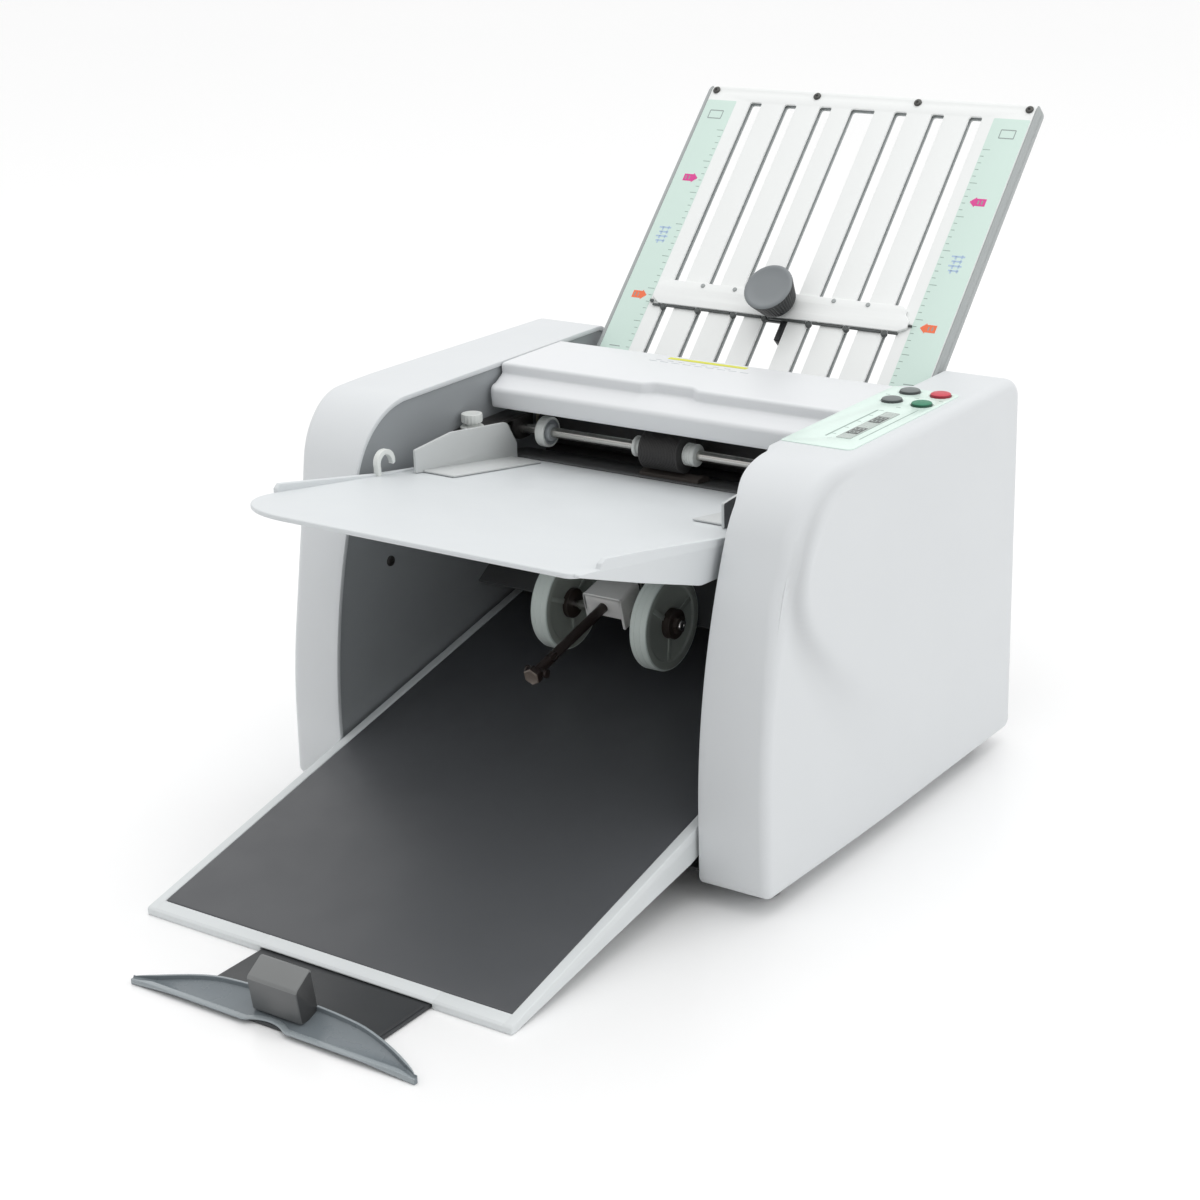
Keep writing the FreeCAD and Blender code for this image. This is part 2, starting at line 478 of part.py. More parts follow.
# ---------------------------------------------------------------- upper fold plate (own frame: y up the plate, z out of it)
SLOTS = [(0.0, "dims.slot_wide")] + [(s * c, "dims.slot_width") for c in (27.5, 54.0, 80.5) for s in (-1, 1)]
def slot_boxes(z0, z1):
    out = []
    for c, w in SLOTS:
        out.append(box("%.2f-%s/2" % (c, w), "%.2f+%s/2" % (c, w), -250.0, -11.0, z0, z1))
    return out
PS = [(-114.6, -3.5), (-36.9, -3.5), (36.9, -3.5), (114.6, -3.5)]
front = box(-118.5, 118.5, "-dims.plate_length", 0.0, "-dims.plate_sheet", 0.0)
node("upper_plate_front", cut(front, *(slot_boxes(-3.0, 2.0) + [rod("z", -4.0, 1.0, x, y, 1.3) for x, y in PS])),
     d["plate_top_y"], d["plate_top_z"], "plate_tilt")
bw0, bw1 = "-2*dims.plate_sheet-dims.plate_space", "-dims.plate_sheet-dims.plate_space"
back = [box("-dims.plate_half", "dims.plate_half", -270.0, 0.0, bw0, bw1)]
for s in (-1, 1):
    a, b = (118.7, "dims.plate_half") if s > 0 else ("-dims.plate_half", -118.7)
    back.append(box(a, b, -262.0, 0.0, "-dims.rail_height", 0.0))
    a, b = (116.3, 119.0) if s > 0 else (-119.0, -116.3)
    back.append(box(a, b, -259.0, 0.0, bw1, "-dims.plate_sheet"))
    a, b = (121.0, F0) if s > 0 else ("-dims.half_gap-dims.frame_gap", -121.0)
    back.append(box(a, b, -240.0, -215.0, "-dims.rail_height", 0.0))
for c in (-40.75, -67.25, 40.75, 67.25, -13.5 - 4.0 + 0.2, 17.3):
    back.append(box(c - 2.0, c + 2.0, -9.0, -0.0, bw1, "-dims.plate_sheet"))
node("upper_plate_back", cut(fuse(*back), *(slot_boxes(-12.0, -3.2) + [rod("z", -12.0, -1.0, x, y, 1.3) for x, y in PS])),
     d["plate_top_y"], d["plate_top_z"], "plate_tilt")
node("plate_screws", fuse(*[fuse(rod("z", 0.0, 1.2, x, y, 2.6), rod("z", -5.0, 0.2, x, y, 1.3)) for x, y in PS]),
     d["plate_top_y"], d["plate_top_z"], "plate_tilt")

SC = -162.0
bar = prism("XY_Plane", 0.3, "dims.stop_bar_sheet", [(-86, -171), (83, -171), ("arc", (92, -162), (83, -153)), (-86, -153), ("arc", (-95, -162), (-86, -171))])
fing = [box(c - w, c + w, -166.0, -162.0, -5.8, 1.0) for c, w in ((-80.5, 3.5), (-54.0, 3.5), (-27.5, 3.5), (27.5, 3.5), (54.0, 3.5), (80.5, 3.5))]
fing += [box(-7.5, -4.0, -166.0, -162.0, -5.0, 1.0), box(4.0, 7.5, -166.0, -162.0, -5.0, 1.0)]
node("upper_stop_bar", cut(fuse(bar, *fing), rod("z", -7.0, 4.0, 0.0, SC, "3.0+dims.shaft_fit")), d["plate_top_y"], d["plate_top_z"], "plate_tilt")
knob = fuse(rod("z", -8.6, 6.0, 0.0, SC, 3.0), rod("z", 2.6, 6.5, 0.0, SC, 9.0), cone(6.0, "6+dims.knob_height", 0.0, SC, 12.5, "dims.knob_radius"))
node("stop_knob", knob, d["plate_top_y"], d["plate_top_z"], "plate_tilt")
node("clamp_foot", cut(fuse(box(-13.0, 13.0, -170.0, -154.0, -8.8, -5.3), box(3.5, 7.5, -186.0, -166.6, -8.8, -0.6)), rod("z", -10.0, -4.0, 0.0, SC, "3.0+dims.shaft_fit")), d["plate_top_y"], d["plate_top_z"], "plate_tilt")

# ---------------------------------------------------------------- lower fold plate (own frame: y down the plate, z towards the rear)
lf = [box(-119.0, 119.0, 0.0, "dims.lower_length", -3.5, -1.0), box(-119.0, 119.0, 0.0, "dims.lower_length", 1.0, 2.5)]
for s in (-1, 1):
    a, b = (118.0, 121.0) if s > 0 else (-121.0, -118.0)
    lf.append(box(a, b, 0.0, "dims.lower_length", -3.5, 2.5))
    a, b = (120.0, F0) if s > 0 else ("-dims.half_gap-dims.frame_gap", -120.0)
    lf.append(box(a, b, 10.0, 28.0, -3.5, 2.5))
    lf.append(box(a, b, 92.0, 110.0, -3.5, 2.5))
node("lower_fold_plate", cut(fuse(*lf), *[box(c - w, c + w, 20.0, 112.0, -5.0, 5.0) for c, w in ((0.0, 6.0), (-40.0, 4.0), (40.0, 4.0), (-80.0, 4.0), (80.0, 4.0))]),
     d["lower_y"], d["lower_z"], "lower_tilt")
ls = [box(-90.0, 90.0, 60.0, 72.0, 2.8, 4.8), rod("z", 4.5, 8.0, 0.0, 66.0, 6.0), rod("z", 7.5, 17.0, 0.0, 66.0, 9.0)]
ls += [box(c - 3.0, c + 3.0, 62.0, 66.0, -4.0, 3.5) for c in (-80.0, -40.0, 0.0, 40.0, 80.0)]
node("lower_stop_bar", fuse(*ls), d["lower_y"], d["lower_z"], "lower_tilt")

node("exit_guide", yz(-W, W, [(197.5, 125.2), (140, 88.2), (140.8, 86.8), (198.3, 123.6)]))

# ---------------------------------------------------------------- stacker (own frame: y back along the arm, z up from it)
AY, AZ = 105.0, 105.7
AX, WX = -3.0, -2.25          # middle of the arm, middle between the wheels
hang = [box(-W, W, 123.0, 133.0, 145.0, 155.0), box(AX + 6.0, AX + 9.0, 121.0, 135.0, 104.0, 150.0), box(AX - 9.0, AX - 6.0, 121.0, 135.0, 104.0, 150.0),
        rod("x", AX - 8.0, AX + 8.0, 128.0, 111.74, "2.5-dims.shaft_fit")]
node("stacker_cross_bar", fuse(*hang))
EY = 23.78
arm = fuse(rod("y", -77.0, EY - 3.0, 0.0, 0.0, "dims.arm_radius"), rod("y", -80.5, -75.0, 0.0, 0.0, 5.6), rod("x", -5.7, 5.7, EY, 0.0, 6.5))
node("stacker_rod", cut(arm, rod("x", -7.0, 7.0, EY, 0.0, 2.5)), AY, AZ, "arm_tilt", AX)
car = [box(-13.5, 13.5, -5.0, 15.0, 6.0, 8.0), box(11.5, 13.5, -5.0, 15.0, -13.0, 8.0), box(-13.5, -11.5, -5.0, 15.0, -13.0, 8.0),
       box(-13.5, 13.5, -5.0, -3.0, -6.0, 8.0), box(-13.5, 13.5, 13.0, 15.0, -6.0, 8.0)]
node("wheel_carrier", cut(fuse(*car), rod("y", -14.0, 17.0, 0.0, 0.0, "dims.arm_radius+dims.shaft_fit"), rod("x", -22.0, 22.0, 3.6, -7.9, "dims.axle_radius+dims.shaft_fit")),
     AY, AZ, "arm_tilt", AX)
node("stacker_axle", rod("x", WX - 47.5, WX + 47.5, 0.0, 0.0, "dims.axle_radius"))
wh = []
for s in (-1, 1):
    c = "%d*dims.wheel_spacing/2" % s
    def w(a, b, r):
        a, b = sorted((s * a, s * b))
        return rod("x", c + "%+.3f" % a, c + "%+.3f" % b, 0.0, 0.0, r)
    wh.append(cut(fuse(rod("x", c + "-dims.wheel_width/2", c + "+dims.wheel_width/2", 0.0, 0.0, "dims.wheel_radius"), w(-7.0, 9.0, 9.0), w(8.5, 12.0, 5.6)),
                  w(-12.0, 14.0, "dims.axle_radius")))
node("stacker_wheels", fuse(*wh), bx=WX)
ta = math.radians(d["arm_tilt"])
wy, wz = AY + 3.6 * math.cos(ta) + 7.9 * math.sin(ta), AZ + 3.6 * math.sin(ta) - 7.9 * math.cos(ta)
for n, o in nodes:
    if n in ("stacker_axle", "stacker_wheels"):
        o.setExpression(".Placement.Base.y", "%.5f-dims.shift_y" % wy)
        o.setExpression(".Placement.Base.z", "%.5f+dims.foot_height" % wz)

# ---------------------------------------------------------------- delivery tray
T = lambda y: 32.6 + 0.2305 * y
RAIL = [(-167, -10.5), (-167, -6.6), (-166, -5.7), (185, T(185)), (185, 66), (-4, 13.6), (-91, 0.7), (-164, -10.5)]
rails = [yz("dims.tray_half-dims.tray_rim", "dims.tray_half", RAIL), yz("-dims.tray_half", "dims.tray_rim-dims.tray_half", RAIL)]
floor_ = yz(-118.0, 118.0, [(-159, T(-159) - 2.3), (185, T(185) - 2.3), (185, T(185) - 4.8), (-152, T(-152) - 4.8)])
tip = yz(-118.0, 118.0, [(-167, -10.5), (-167, -6.6), (-166, -5.7), (-158.3, T(-158.3)), (-158.3, T(-158.3) - 2.3), (-150, T(-150) - 2.3), (-147, -8.4), (-158, -10.5)])
notch = box(-41.0, 73.5, -170.0, -140.0, -12.0, -7.9)
node("tray_body", cut(fuse(floor_, tip, *rails), notch))
node("tray_deck", yz("dims.tray_rim-dims.tray_half", "dims.tray_half-dims.tray_rim", [(-158.3, T(-158.3) - 0.3), (185, T(185) - 0.3), (185, T(185) - 0.3 - d["deck_sheet"]), (-158.3, T(-158.3) - 0.3 - d["deck_sheet"])]))
node("tray_extension", box(-40.0, "dims.extension_width-40", -224.0, -75.0, -10.3, "dims.extension_sheet-10.3"))

cx = 18.5
seg = prism("XY_Plane", "-dims.foot_height", "dims.stop_height", [(cx - 93.0, -228), (cx + 93.0, -228), ("arc", (cx + 88.0, -223.7), (cx + 70.0, -215.6)),
                                                                    ("arc", (cx, -206), (cx - 70.0, -215.6)), ("arc", (cx - 88.0, -223.7), (cx - 93.0, -228))])
top = yz(-85.0, 118.0, [(-235, -6.9), (-228, -6.9), (-204, -0.8), (-204, 20), (-235, 20)])
blk = yz(2.0, 34.0, [(-219.5, -9), (-222.3, 12.6), (-221.4, 13.9), (-211, 20.6), (-209.6, 20), (-207.0, -4), (-207.0, -9)])
node("paper_stop", cut(fuse(cut(seg, top), blk), box(-41.0, 73.5, -232.0, -200.0, -12.0, -8.0), box(4.5, 27.5, -232.0, -223.8, -12.0, -1.5)))

# ---------------------------------------------------------------- checks and export
doc.recompute()
bad = []
for o in doc.Objects:
    st = [str(x) for x in o.State]
    if "Invalid" in st or "Error" in st:
        bad.append("%s (%s): %s" % (o.Name, o.Label, st))
total = Part.Compound([o.Shape for n, o in nodes if not o.Shape.isNull()])
for n, o in nodes:
    s = o.Shape
    if s.isNull() or not s.isValid() or len(s.Solids) < 1 or s.Volume <= 0:
        bad.append("bad shape " + n)
bb = total.BoundBox
print("nodes", len(nodes), "box x %.2f..%.2f y %.2f..%.2f z %.2f..%.2f" % (bb.XMin, bb.XMax, bb.YMin, bb.YMax, bb.ZMin, bb.ZMax))
for n, o in nodes:
    if not o.Shape.isNull():
        print("%-20s solids %d volume %.0f" % (n, len(o.Shape.Solids), o.Shape.Volume))
if bad:
    for b in bad:
        print("BAD", b)
    raise RuntimeError("%d problems" % len(bad))
for n, o in nodes:
    o.Shape.exportStep("parts/%s.step" % n)
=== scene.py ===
import math
import bpy
import numpy as np
from mathutils import Matrix, Vector


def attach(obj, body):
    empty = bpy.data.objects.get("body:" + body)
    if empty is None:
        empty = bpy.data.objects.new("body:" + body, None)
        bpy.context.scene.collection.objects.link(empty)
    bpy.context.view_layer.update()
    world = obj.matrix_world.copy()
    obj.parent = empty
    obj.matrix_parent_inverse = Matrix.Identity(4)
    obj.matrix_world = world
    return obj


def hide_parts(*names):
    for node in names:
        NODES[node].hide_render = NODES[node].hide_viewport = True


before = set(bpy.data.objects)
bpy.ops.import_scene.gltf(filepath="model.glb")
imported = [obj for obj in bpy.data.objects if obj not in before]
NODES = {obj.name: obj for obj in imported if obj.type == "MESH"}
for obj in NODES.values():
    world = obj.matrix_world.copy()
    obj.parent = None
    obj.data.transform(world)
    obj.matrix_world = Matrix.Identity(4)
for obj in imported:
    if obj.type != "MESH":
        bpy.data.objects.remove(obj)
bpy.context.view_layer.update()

# Looks for a desk-top paper folding machine. Lengths below are millimetres in the working coordinates of the CAD source
# (y 0 at the front of the side covers, z 0 at their lower edge); M() takes them to the row frame in metres.
SX, SY, SZ = -5.75, 95.643, 10.5
TO_ROW = Matrix.Scale(0.001, 4) @ Matrix.Translation((-SX, -SY, SZ))


def M(x, y, z):
    return Vector((x - SX, y - SY, z + SZ)) * 0.001


def tilted(by, bz, deg):
    """A part's own frame: turned about x and set at (by, bz)."""
    return Matrix.Translation((0.0, by, bz)) @ Matrix.Rotation(math.radians(deg), 4, "X")


UPPER = tilted(412.8, 360.5, 46.1)      # fold plate: y up the sheet, z out of it
LOWER = tilted(233.5, 129.5, -67.67)
AX, WX = -3.0, -2.25                    # middle of the stacker arm, middle between its wheels
ARM = Matrix.Translation((AX, 0.0, 0.0)) @ tilted(105.0, 105.7, 14.72)       # stacker arm: y back along the rod, z up from it
ONE = Matrix.Identity(4)


def smooth01(t):
    t = max(0.0, min(1.0, t))
    return t * t * (3.0 - 2.0 * t)


def ramp(t, a, b):
    return smooth01((t - a) / (b - a))


# ---------------------------------------------------------------- camera
def make_camera():
    yaw, pitch, roll = 0.6138574399899643, 0.343237644463037, 0.0300514816741441
    fwd = Vector((-math.sin(yaw) * math.cos(pitch), math.cos(yaw) * math.cos(pitch), -math.sin(pitch)))
    right0 = Vector((math.cos(yaw), math.sin(yaw), 0.0))
    down0 = fwd.cross(right0)
    right = right0 * math.cos(roll) + down0 * math.sin(roll)
    down = down0 * math.cos(roll) - right0 * math.sin(roll)
    cam = bpy.data.cameras.new("camera")
    cam.sensor_width = 36.0
    cam.sensor_fit = "HORIZONTAL"
    cam.lens = 2389.7588591476147 * 36.0 / 1200.0
    cam.clip_start, cam.clip_end = 0.02, 60.0
    o = bpy.data.objects.new("camera", cam)
    bpy.context.scene.collection.objects.link(o)
    x, y, z = right, -down, -fwd
    rot = Matrix(((x.x, y.x, z.x, 0), (x.y, y.y, z.y, 0), (x.z, y.z, z.z, 0), (0, 0, 0, 1)))
    o.matrix_world = Matrix.Translation(M(752.8155108679008, -975.360381775581, 579.0243869040331)) @ rot
    bpy.context.scene.camera = o


make_camera()


# ---------------------------------------------------------------- materials
def lin(c):
    out = []
    for v in c[:3]:
        v = v / 255.0
        out.append(v / 12.92 if v <= 0.04045 else ((v + 0.055) / 1.055) ** 2.4)
    return (out[0], out[1], out[2], 1.0)


def shade(c, k):
    return tuple(min(1.0, v * k) for v in c[:3]) + (1.0,)


MATS = {}


def material(name, rgb, rough=0.5, spec=0.5, metal=0.0, grain=1400.0, bump=0.10, depth=0.00006, vary=0.03, scale=16.0,
             rough_vary=0.06, wear=0.0, wear_rgb=None, coat=0.0, coat_rough=0.1, aniso=0.0, brush=None, spots=0.0):
    """Principled surface with slow colour drift, roughness patches, a fine grain bump and, where asked for, brushing and edge wear."""
    if name in MATS:
        return MATS[name]
    m = bpy.data.materials.new(name)
    m.use_nodes = True
    nt = m.node_tree
    nt.nodes.clear()
    N, L = nt.nodes.new, nt.links.new
    out, bsdf, tc = N("ShaderNodeOutputMaterial"), N("ShaderNodeBsdfPrincipled"), N("ShaderNodeTexCoord")
    L(bsdf.outputs["BSDF"], out.inputs["Surface"])
    col = lin(rgb)
    src = tc.outputs["Object"]
    drift = N("ShaderNodeTexNoise")
    drift.inputs["Scale"].default_value = scale
    drift.inputs["Detail"].default_value = 5.0
    drift.inputs["Roughness"].default_value = 0.6
    L(src, drift.inputs["Vector"])
    mix = N("ShaderNodeMix")
    mix.data_type = "RGBA"
    mix.inputs["A"].default_value = shade(col, 1.0 - vary)
    mix.inputs["B"].default_value = shade(col, 1.0 + vary)
    L(drift.outputs["Fac"], mix.inputs["Factor"])
    colour = mix.outputs["Result"]
    if spots:
        dust = N("ShaderNodeTexNoise")
        dust.inputs["Scale"].default_value = 420.0
        dust.inputs["Detail"].default_value = 2.0
        L(src, dust.inputs["Vector"])
        pick = N("ShaderNodeMapRange")
        pick.inputs["From Min"].default_value = 0.60
        pick.inputs["From Max"].default_value = 0.72
        pick.inputs["To Max"].default_value = spots
        L(dust.outputs["Fac"], pick.inputs["Value"])
        m2 = N("ShaderNodeMix")
        m2.data_type = "RGBA"
        m2.inputs["B"].default_value = shade(col, 0.72)
        L(pick.outputs["Result"], m2.inputs["Factor"])
        L(colour, m2.inputs["A"])
        colour = m2.outputs["Result"]
    if wear:
        geo = N("ShaderNodeNewGeometry")
        edge = N("ShaderNodeMapRange")
        edge.inputs["From Min"].default_value = 0.52
        edge.inputs["From Max"].default_value = 0.60
        edge.inputs["To Max"].default_value = wear
        L(geo.outputs["Pointiness"], edge.inputs["Value"])
        m3 = N("ShaderNodeMix")
        m3.data_type = "RGBA"
        m3.inputs["B"].default_value = lin(wear_rgb) if wear_rgb else shade(col, 1.35)
        L(edge.outputs["Result"], m3.inputs["Factor"])
        L(colour, m3.inputs["A"])
        colour = m3.outputs["Result"]
    L(colour, bsdf.inputs["Base Color"])
    patch = N("ShaderNodeTexNoise")
    patch.inputs["Scale"].default_value = scale * 3.1
    patch.inputs["Detail"].default_value = 4.0
    L(src, patch.inputs["Vector"])
    rr = N("ShaderNodeMapRange")
    rr.inputs["From Min"].default_value = 0.3
    rr.inputs["From Max"].default_value = 0.7
    rr.inputs["To Min"].default_value = max(0.02, rough - rough_vary)
    rr.inputs["To Max"].default_value = min(1.0, rough + rough_vary)
    L(patch.outputs["Fac"], rr.inputs["Value"])
    L(rr.outputs["Result"], bsdf.inputs["Roughness"])
    fine = N("ShaderNodeTexNoise")
    fine.inputs["Scale"].default_value = grain
    fine.inputs["Detail"].default_value = 2.0
    if brush:
        mp = N("ShaderNodeMapping")
        mp.inputs["Scale"].default_value = brush
        L(src, mp.inputs["Vector"])
        L(mp.outputs["Vector"], fine.inputs["Vector"])
    else:
        L(src, fine.inputs["Vector"])
    bp = N("ShaderNodeBump")
    bp.inputs["Strength"].default_value = bump
    bp.inputs["Distance"].default_value = depth
    L(fine.outputs["Fac"], bp.inputs["Height"])
    L(bp.outputs["Normal"], bsdf.inputs["Normal"])
    bsdf.inputs["Metallic"].default_value = metal
    bsdf.inputs["Specular IOR Level"].default_value = spec
    if coat:
        bsdf.inputs["Coat Weight"].default_value = coat
        bsdf.inputs["Coat Roughness"].default_value = coat_rough
    if aniso:
        bsdf.inputs["Anisotropic"].default_value = aniso
    m.diffuse_color = col
    MATS[name] = m
    return m


COVER = material("cover_plastic", (217, 220, 222), rough=0.42, grain=1900.0, bump=0.16, vary=0.012, scale=7.0, spec=0.45)
def painted_fold_shade(m, amount):
    """Painted shade: deepens the colour where the cover mesh says the foot of its fold runs."""
    nt = m.node_tree
    b = next(n for n in nt.nodes if n.type == "BSDF_PRINCIPLED")
    src = b.inputs["Base Color"].links[0].from_socket
    at = nt.nodes.new("ShaderNodeAttribute")
    at.attribute_name = "fold"
    k = nt.nodes.new("ShaderNodeMapRange")
    k.inputs["To Min"].default_value = 1.0
    k.inputs["To Max"].default_value = 1.0 - amount
    nt.links.new(at.outputs["Fac"], k.inputs["Value"])
    mul = nt.nodes.new("ShaderNodeVectorMath")
    mul.operation = "SCALE"
    nt.links.new(src, mul.inputs[0])
    nt.links.new(k.outputs["Result"], mul.inputs["Scale"])
    nt.links.new(mul.outputs["Vector"], b.inputs["Base Color"])


# painted shade: the cover colour darkens by up to 17% along the foot of the C fold
painted_fold_shade(COVER, 0.17)
HOOD = material("hood_plastic", (226, 228, 230), rough=0.38, grain=1900.0, bump=0.14, vary=0.012, scale=7.0, spec=0.45)
TABLE = material("table_plastic", (214, 218, 220), rough=0.45, grain=1700.0, bump=0.18, vary=0.015, scale=9.0)
# painted shade: a darker copy of the table plastic for the recessed face and hub of the first feed collar
COLLAR_RECESS_SHADE = material("table_plastic_shaded", (178, 183, 186), rough=0.5, grain=1700.0, bump=0.18, vary=0.015, scale=9.0)
TRAY = material("tray_plastic", (222, 226, 227), rough=0.42, grain=1700.0, bump=0.18, vary=0.015, scale=9.0)
FRAME = material("frame_paint", (150, 154, 157), rough=0.45, grain=900.0, bump=0.22, vary=0.05, spec=0.5)
PAN = material("pan_steel", (72, 74, 76), rough=0.48, grain=900.0, bump=0.25, vary=0.06)
DECK = material("deck_paint", (78, 80, 83), rough=0.40, grain=1100.0, bump=0.22, vary=0.06, scale=10.0)
EXTEN = material("extension_paint", (52, 54, 56), rough=0.45, grain=1100.0, bump=0.22, vary=0.06, scale=10.0)
# dark guide paint; on the right feed guide's outer face it stands for painted shade
GUIDE_PAINT_AND_SHADE = material("guide_paint", (88, 89, 90), rough=0.45, grain=1000.0, bump=0.2, vary=0.06)
PLATE = material("plate_paint", (243, 245, 244), rough=0.38, grain=1200.0, bump=0.12, vary=0.015, scale=10.0)
SHEET = material("sheet_edge_paint", (168, 173, 173), rough=0.42, grain=1200.0, bump=0.15, vary=0.03)
SIDEGUIDE = material("side_guide_paint", (200, 203, 203), rough=0.42, grain=1200.0, bump=0.15, vary=0.03)
MINT = material("mint_film", (212, 233, 224), rough=0.40, grain=2400.0, bump=0.10, vary=0.02, scale=12.0, coat=0.15, coat_rough=0.35)
STRIP = material("strip_film", (222, 240, 232), rough=0.32, grain=2400.0, bump=0.08, vary=0.015, scale=12.0, coat=0.25, coat_rough=0.25)
WINDOW = material("window_plastic", (172, 184, 178), rough=0.24, grain=2400.0, bump=0.03, vary=0.02, coat=0.6, coat_rough=0.08)
DIGIT = material("digit_plastic", (40, 44, 45), rough=0.25, grain=2400.0, bump=0.04, vary=0.05, coat=0.5, coat_rough=0.1)
GREYB = material("grey_button", (112, 118, 118), rough=0.40, grain=2600.0, bump=0.12, vary=0.03)
GREENB = material("green_button", (44, 128, 96), rough=0.36, grain=2600.0, bump=0.12, vary=0.03)
REDB = material("red_button", (206, 62, 80), rough=0.36, grain=2600.0, bump=0.12, vary=0.03)
# painted shade: darker copies of the key colours for the key sides, standing for the shadow in the gap round each key
GREY_SHADED_SIDE = material("grey_button_shaded_side", (66, 71, 72), rough=0.42, grain=2600.0, bump=0.12, vary=0.03)
GREEN_SHADED_SIDE = material("green_button_shaded_side", (20, 82, 60), rough=0.40, grain=2600.0, bump=0.12, vary=0.03)
RED_SHADED_SIDE = material("red_button_shaded_side", (150, 32, 50), rough=0.40, grain=2600.0, bump=0.12, vary=0.03)
BLACK = material("black_plastic", (40, 38, 37), rough=0.42, grain=1600.0, bump=0.2, vary=0.08)
CAPFACE = material("rod_end_face", (118, 108, 100), rough=0.34, grain=1500.0, bump=0.15, vary=0.08, metal=0.2)
RODM = material("rod_black", (46, 36, 33), rough=0.32, grain=1500.0, bump=0.15, vary=0.10, metal=0.2)
FOOTM = material("foot_rubber", (38, 38, 38), rough=0.75, grain=1200.0, bump=0.4, vary=0.08)
RUBBER = material("roller_rubber", (58, 57, 57), rough=0.62, grain=1300.0, bump=0.35, vary=0.06)
STEEL = material("shaft_steel", (206, 204, 200), rough=0.22, metal=1.0, grain=220.0, bump=0.15, vary=0.04, brush=(40.0, 1.0, 1.0), aniso=0.4)
BARS = material("bar_steel", (150, 151, 152), rough=0.35, metal=1.0, grain=220.0, bump=0.15, vary=0.05, brush=(40.0, 1.0, 1.0))
BRACKET = material("bracket_plated", (236, 236, 234), rough=0.34, metal=0.0, grain=600.0, bump=0.10, vary=0.04)
BRIGHT = material("bright_sheet", (214, 212, 210), rough=0.20, metal=1.0, grain=600.0, bump=0.10, vary=0.04)
SCREW = material("screw_steel", (92, 92, 90), rough=0.38, metal=0.9, grain=900.0, bump=0.2, vary=0.08)
COLLAR = material("collar_plastic", (226, 229, 226), rough=0.34, grain=1900.0, bump=0.12, vary=0.02)
# painted highlight: a lighter grey for the top face of the dark knob, standing for the overhead light on it
KNOB_LIT_TOP = material("knob_lit_top", (126, 131, 134), rough=0.34, grain=1700.0, bump=0.18, vary=0.04, coat=0.2, coat_rough=0.3)
KNOB = material("knob_plastic", (42, 44, 46), rough=0.42, grain=1500.0, bump=0.25, vary=0.06)
STOPG = material("stop_grey", (116, 124, 129), rough=0.30, grain=1500.0, bump=0.16, vary=0.05, wear=0.25)
# painted highlight: a lighter copy of the stop grey for the tops of the front lip and the rear rim
STOP_LIT_GREY = material("stop_grey_lit_lip", (150, 158, 162), rough=0.26, grain=1500.0, bump=0.12, vary=0.04, coat=0.3, coat_rough=0.2)
# painted light and shade: a lighter copy of the block grey for its top faces, a darker one for its two end faces
BLOCK_LIT_TOP = material("stop_block_lit_top", (122, 124, 124), rough=0.34, grain=1300.0, bump=0.22, vary=0.05)
BLOCK_SHADED_SIDE = material("stop_block_shaded_side", (62, 63, 64), rough=0.42, grain=1300.0, bump=0.22, vary=0.05)
BLOCK = material("stop_block_grey", (94, 96, 97), rough=0.36, grain=1300.0, bump=0.22, vary=0.05, wear=0.3)
RIMM = material("wheel_rim", (222, 232, 227), rough=0.42, grain=1500.0, bump=0.2, vary=0.02)
FACEM = material("wheel_face", (168, 175, 168), rough=0.50, grain=1500.0, bump=0.2, vary=0.05)
HUBM = material("wheel_hub", (58, 50, 45), rough=0.45, grain=1300.0, bump=0.2, vary=0.1)
GEAR = material("gear_plastic", (218, 214, 200), rough=0.42, grain=1500.0, bump=0.15, vary=0.02)
BUSH = material("bush_plastic", (206, 200, 180), rough=0.45, grain=1500.0, bump=0.15, vary=0.03)
PAD = material("pad_rubber", (62, 56, 52), rough=0.75, grain=1000.0, bump=0.4, vary=0.08)
BOARD = material("board_laminate", (34, 92, 62), rough=0.30, grain=500.0, bump=0.1, vary=0.08, coat=0.4)
MOTOR = material("motor_paint", (52, 53, 55), rough=0.38, grain=900.0, bump=0.15, vary=0.05)
ALU = material("pulley_aluminium", (196, 198, 200), rough=0.30, metal=1.0, grain=300.0, bump=0.12, vary=0.04, brush=(1.0, 30.0, 30.0))
BELT = material("belt_rubber", (34, 34, 34), rough=0.7, grain=1200.0, bump=0.35, vary=0.06)
YELLOW = material("label_yellow", (218, 220, 40), rough=0.40, grain=2400.0, bump=0.06, vary=0.03)
FAINT = material("print_faint", (196, 200, 204), rough=0.45, grain=2400.0, bump=0.06, vary=0.03)
TICK = material("print_grey_green", (150, 170, 162), rough=0.45, grain=2400.0, bump=0.06, vary=0.05)
OUTLINE = material("print_grey", (148, 160, 158), rough=0.45, grain=2400.0, bump=0.06, vary=0.05)
MAGENTA = material("print_magenta", (224, 62, 150), rough=0.42, grain=2400.0, bump=0.06, vary=0.05)
ORANGE = material("print_orange", (246, 118, 74), rough=0.42, grain=2400.0, bump=0.06, vary=0.05)
BLUE = material("print_blue", (178, 202, 228), rough=0.42, grain=2400.0, bump=0.06, vary=0.05)
# painted shade: a dark grey for the lips and tabs along the white stop bar's lower edge, standing for the shadow in the
# gap under it
LIP_SHADE = material("bar_lip_painted_shade", (78, 82, 82), rough=0.45, grain=1300.0, bump=0.15, vary=0.05)


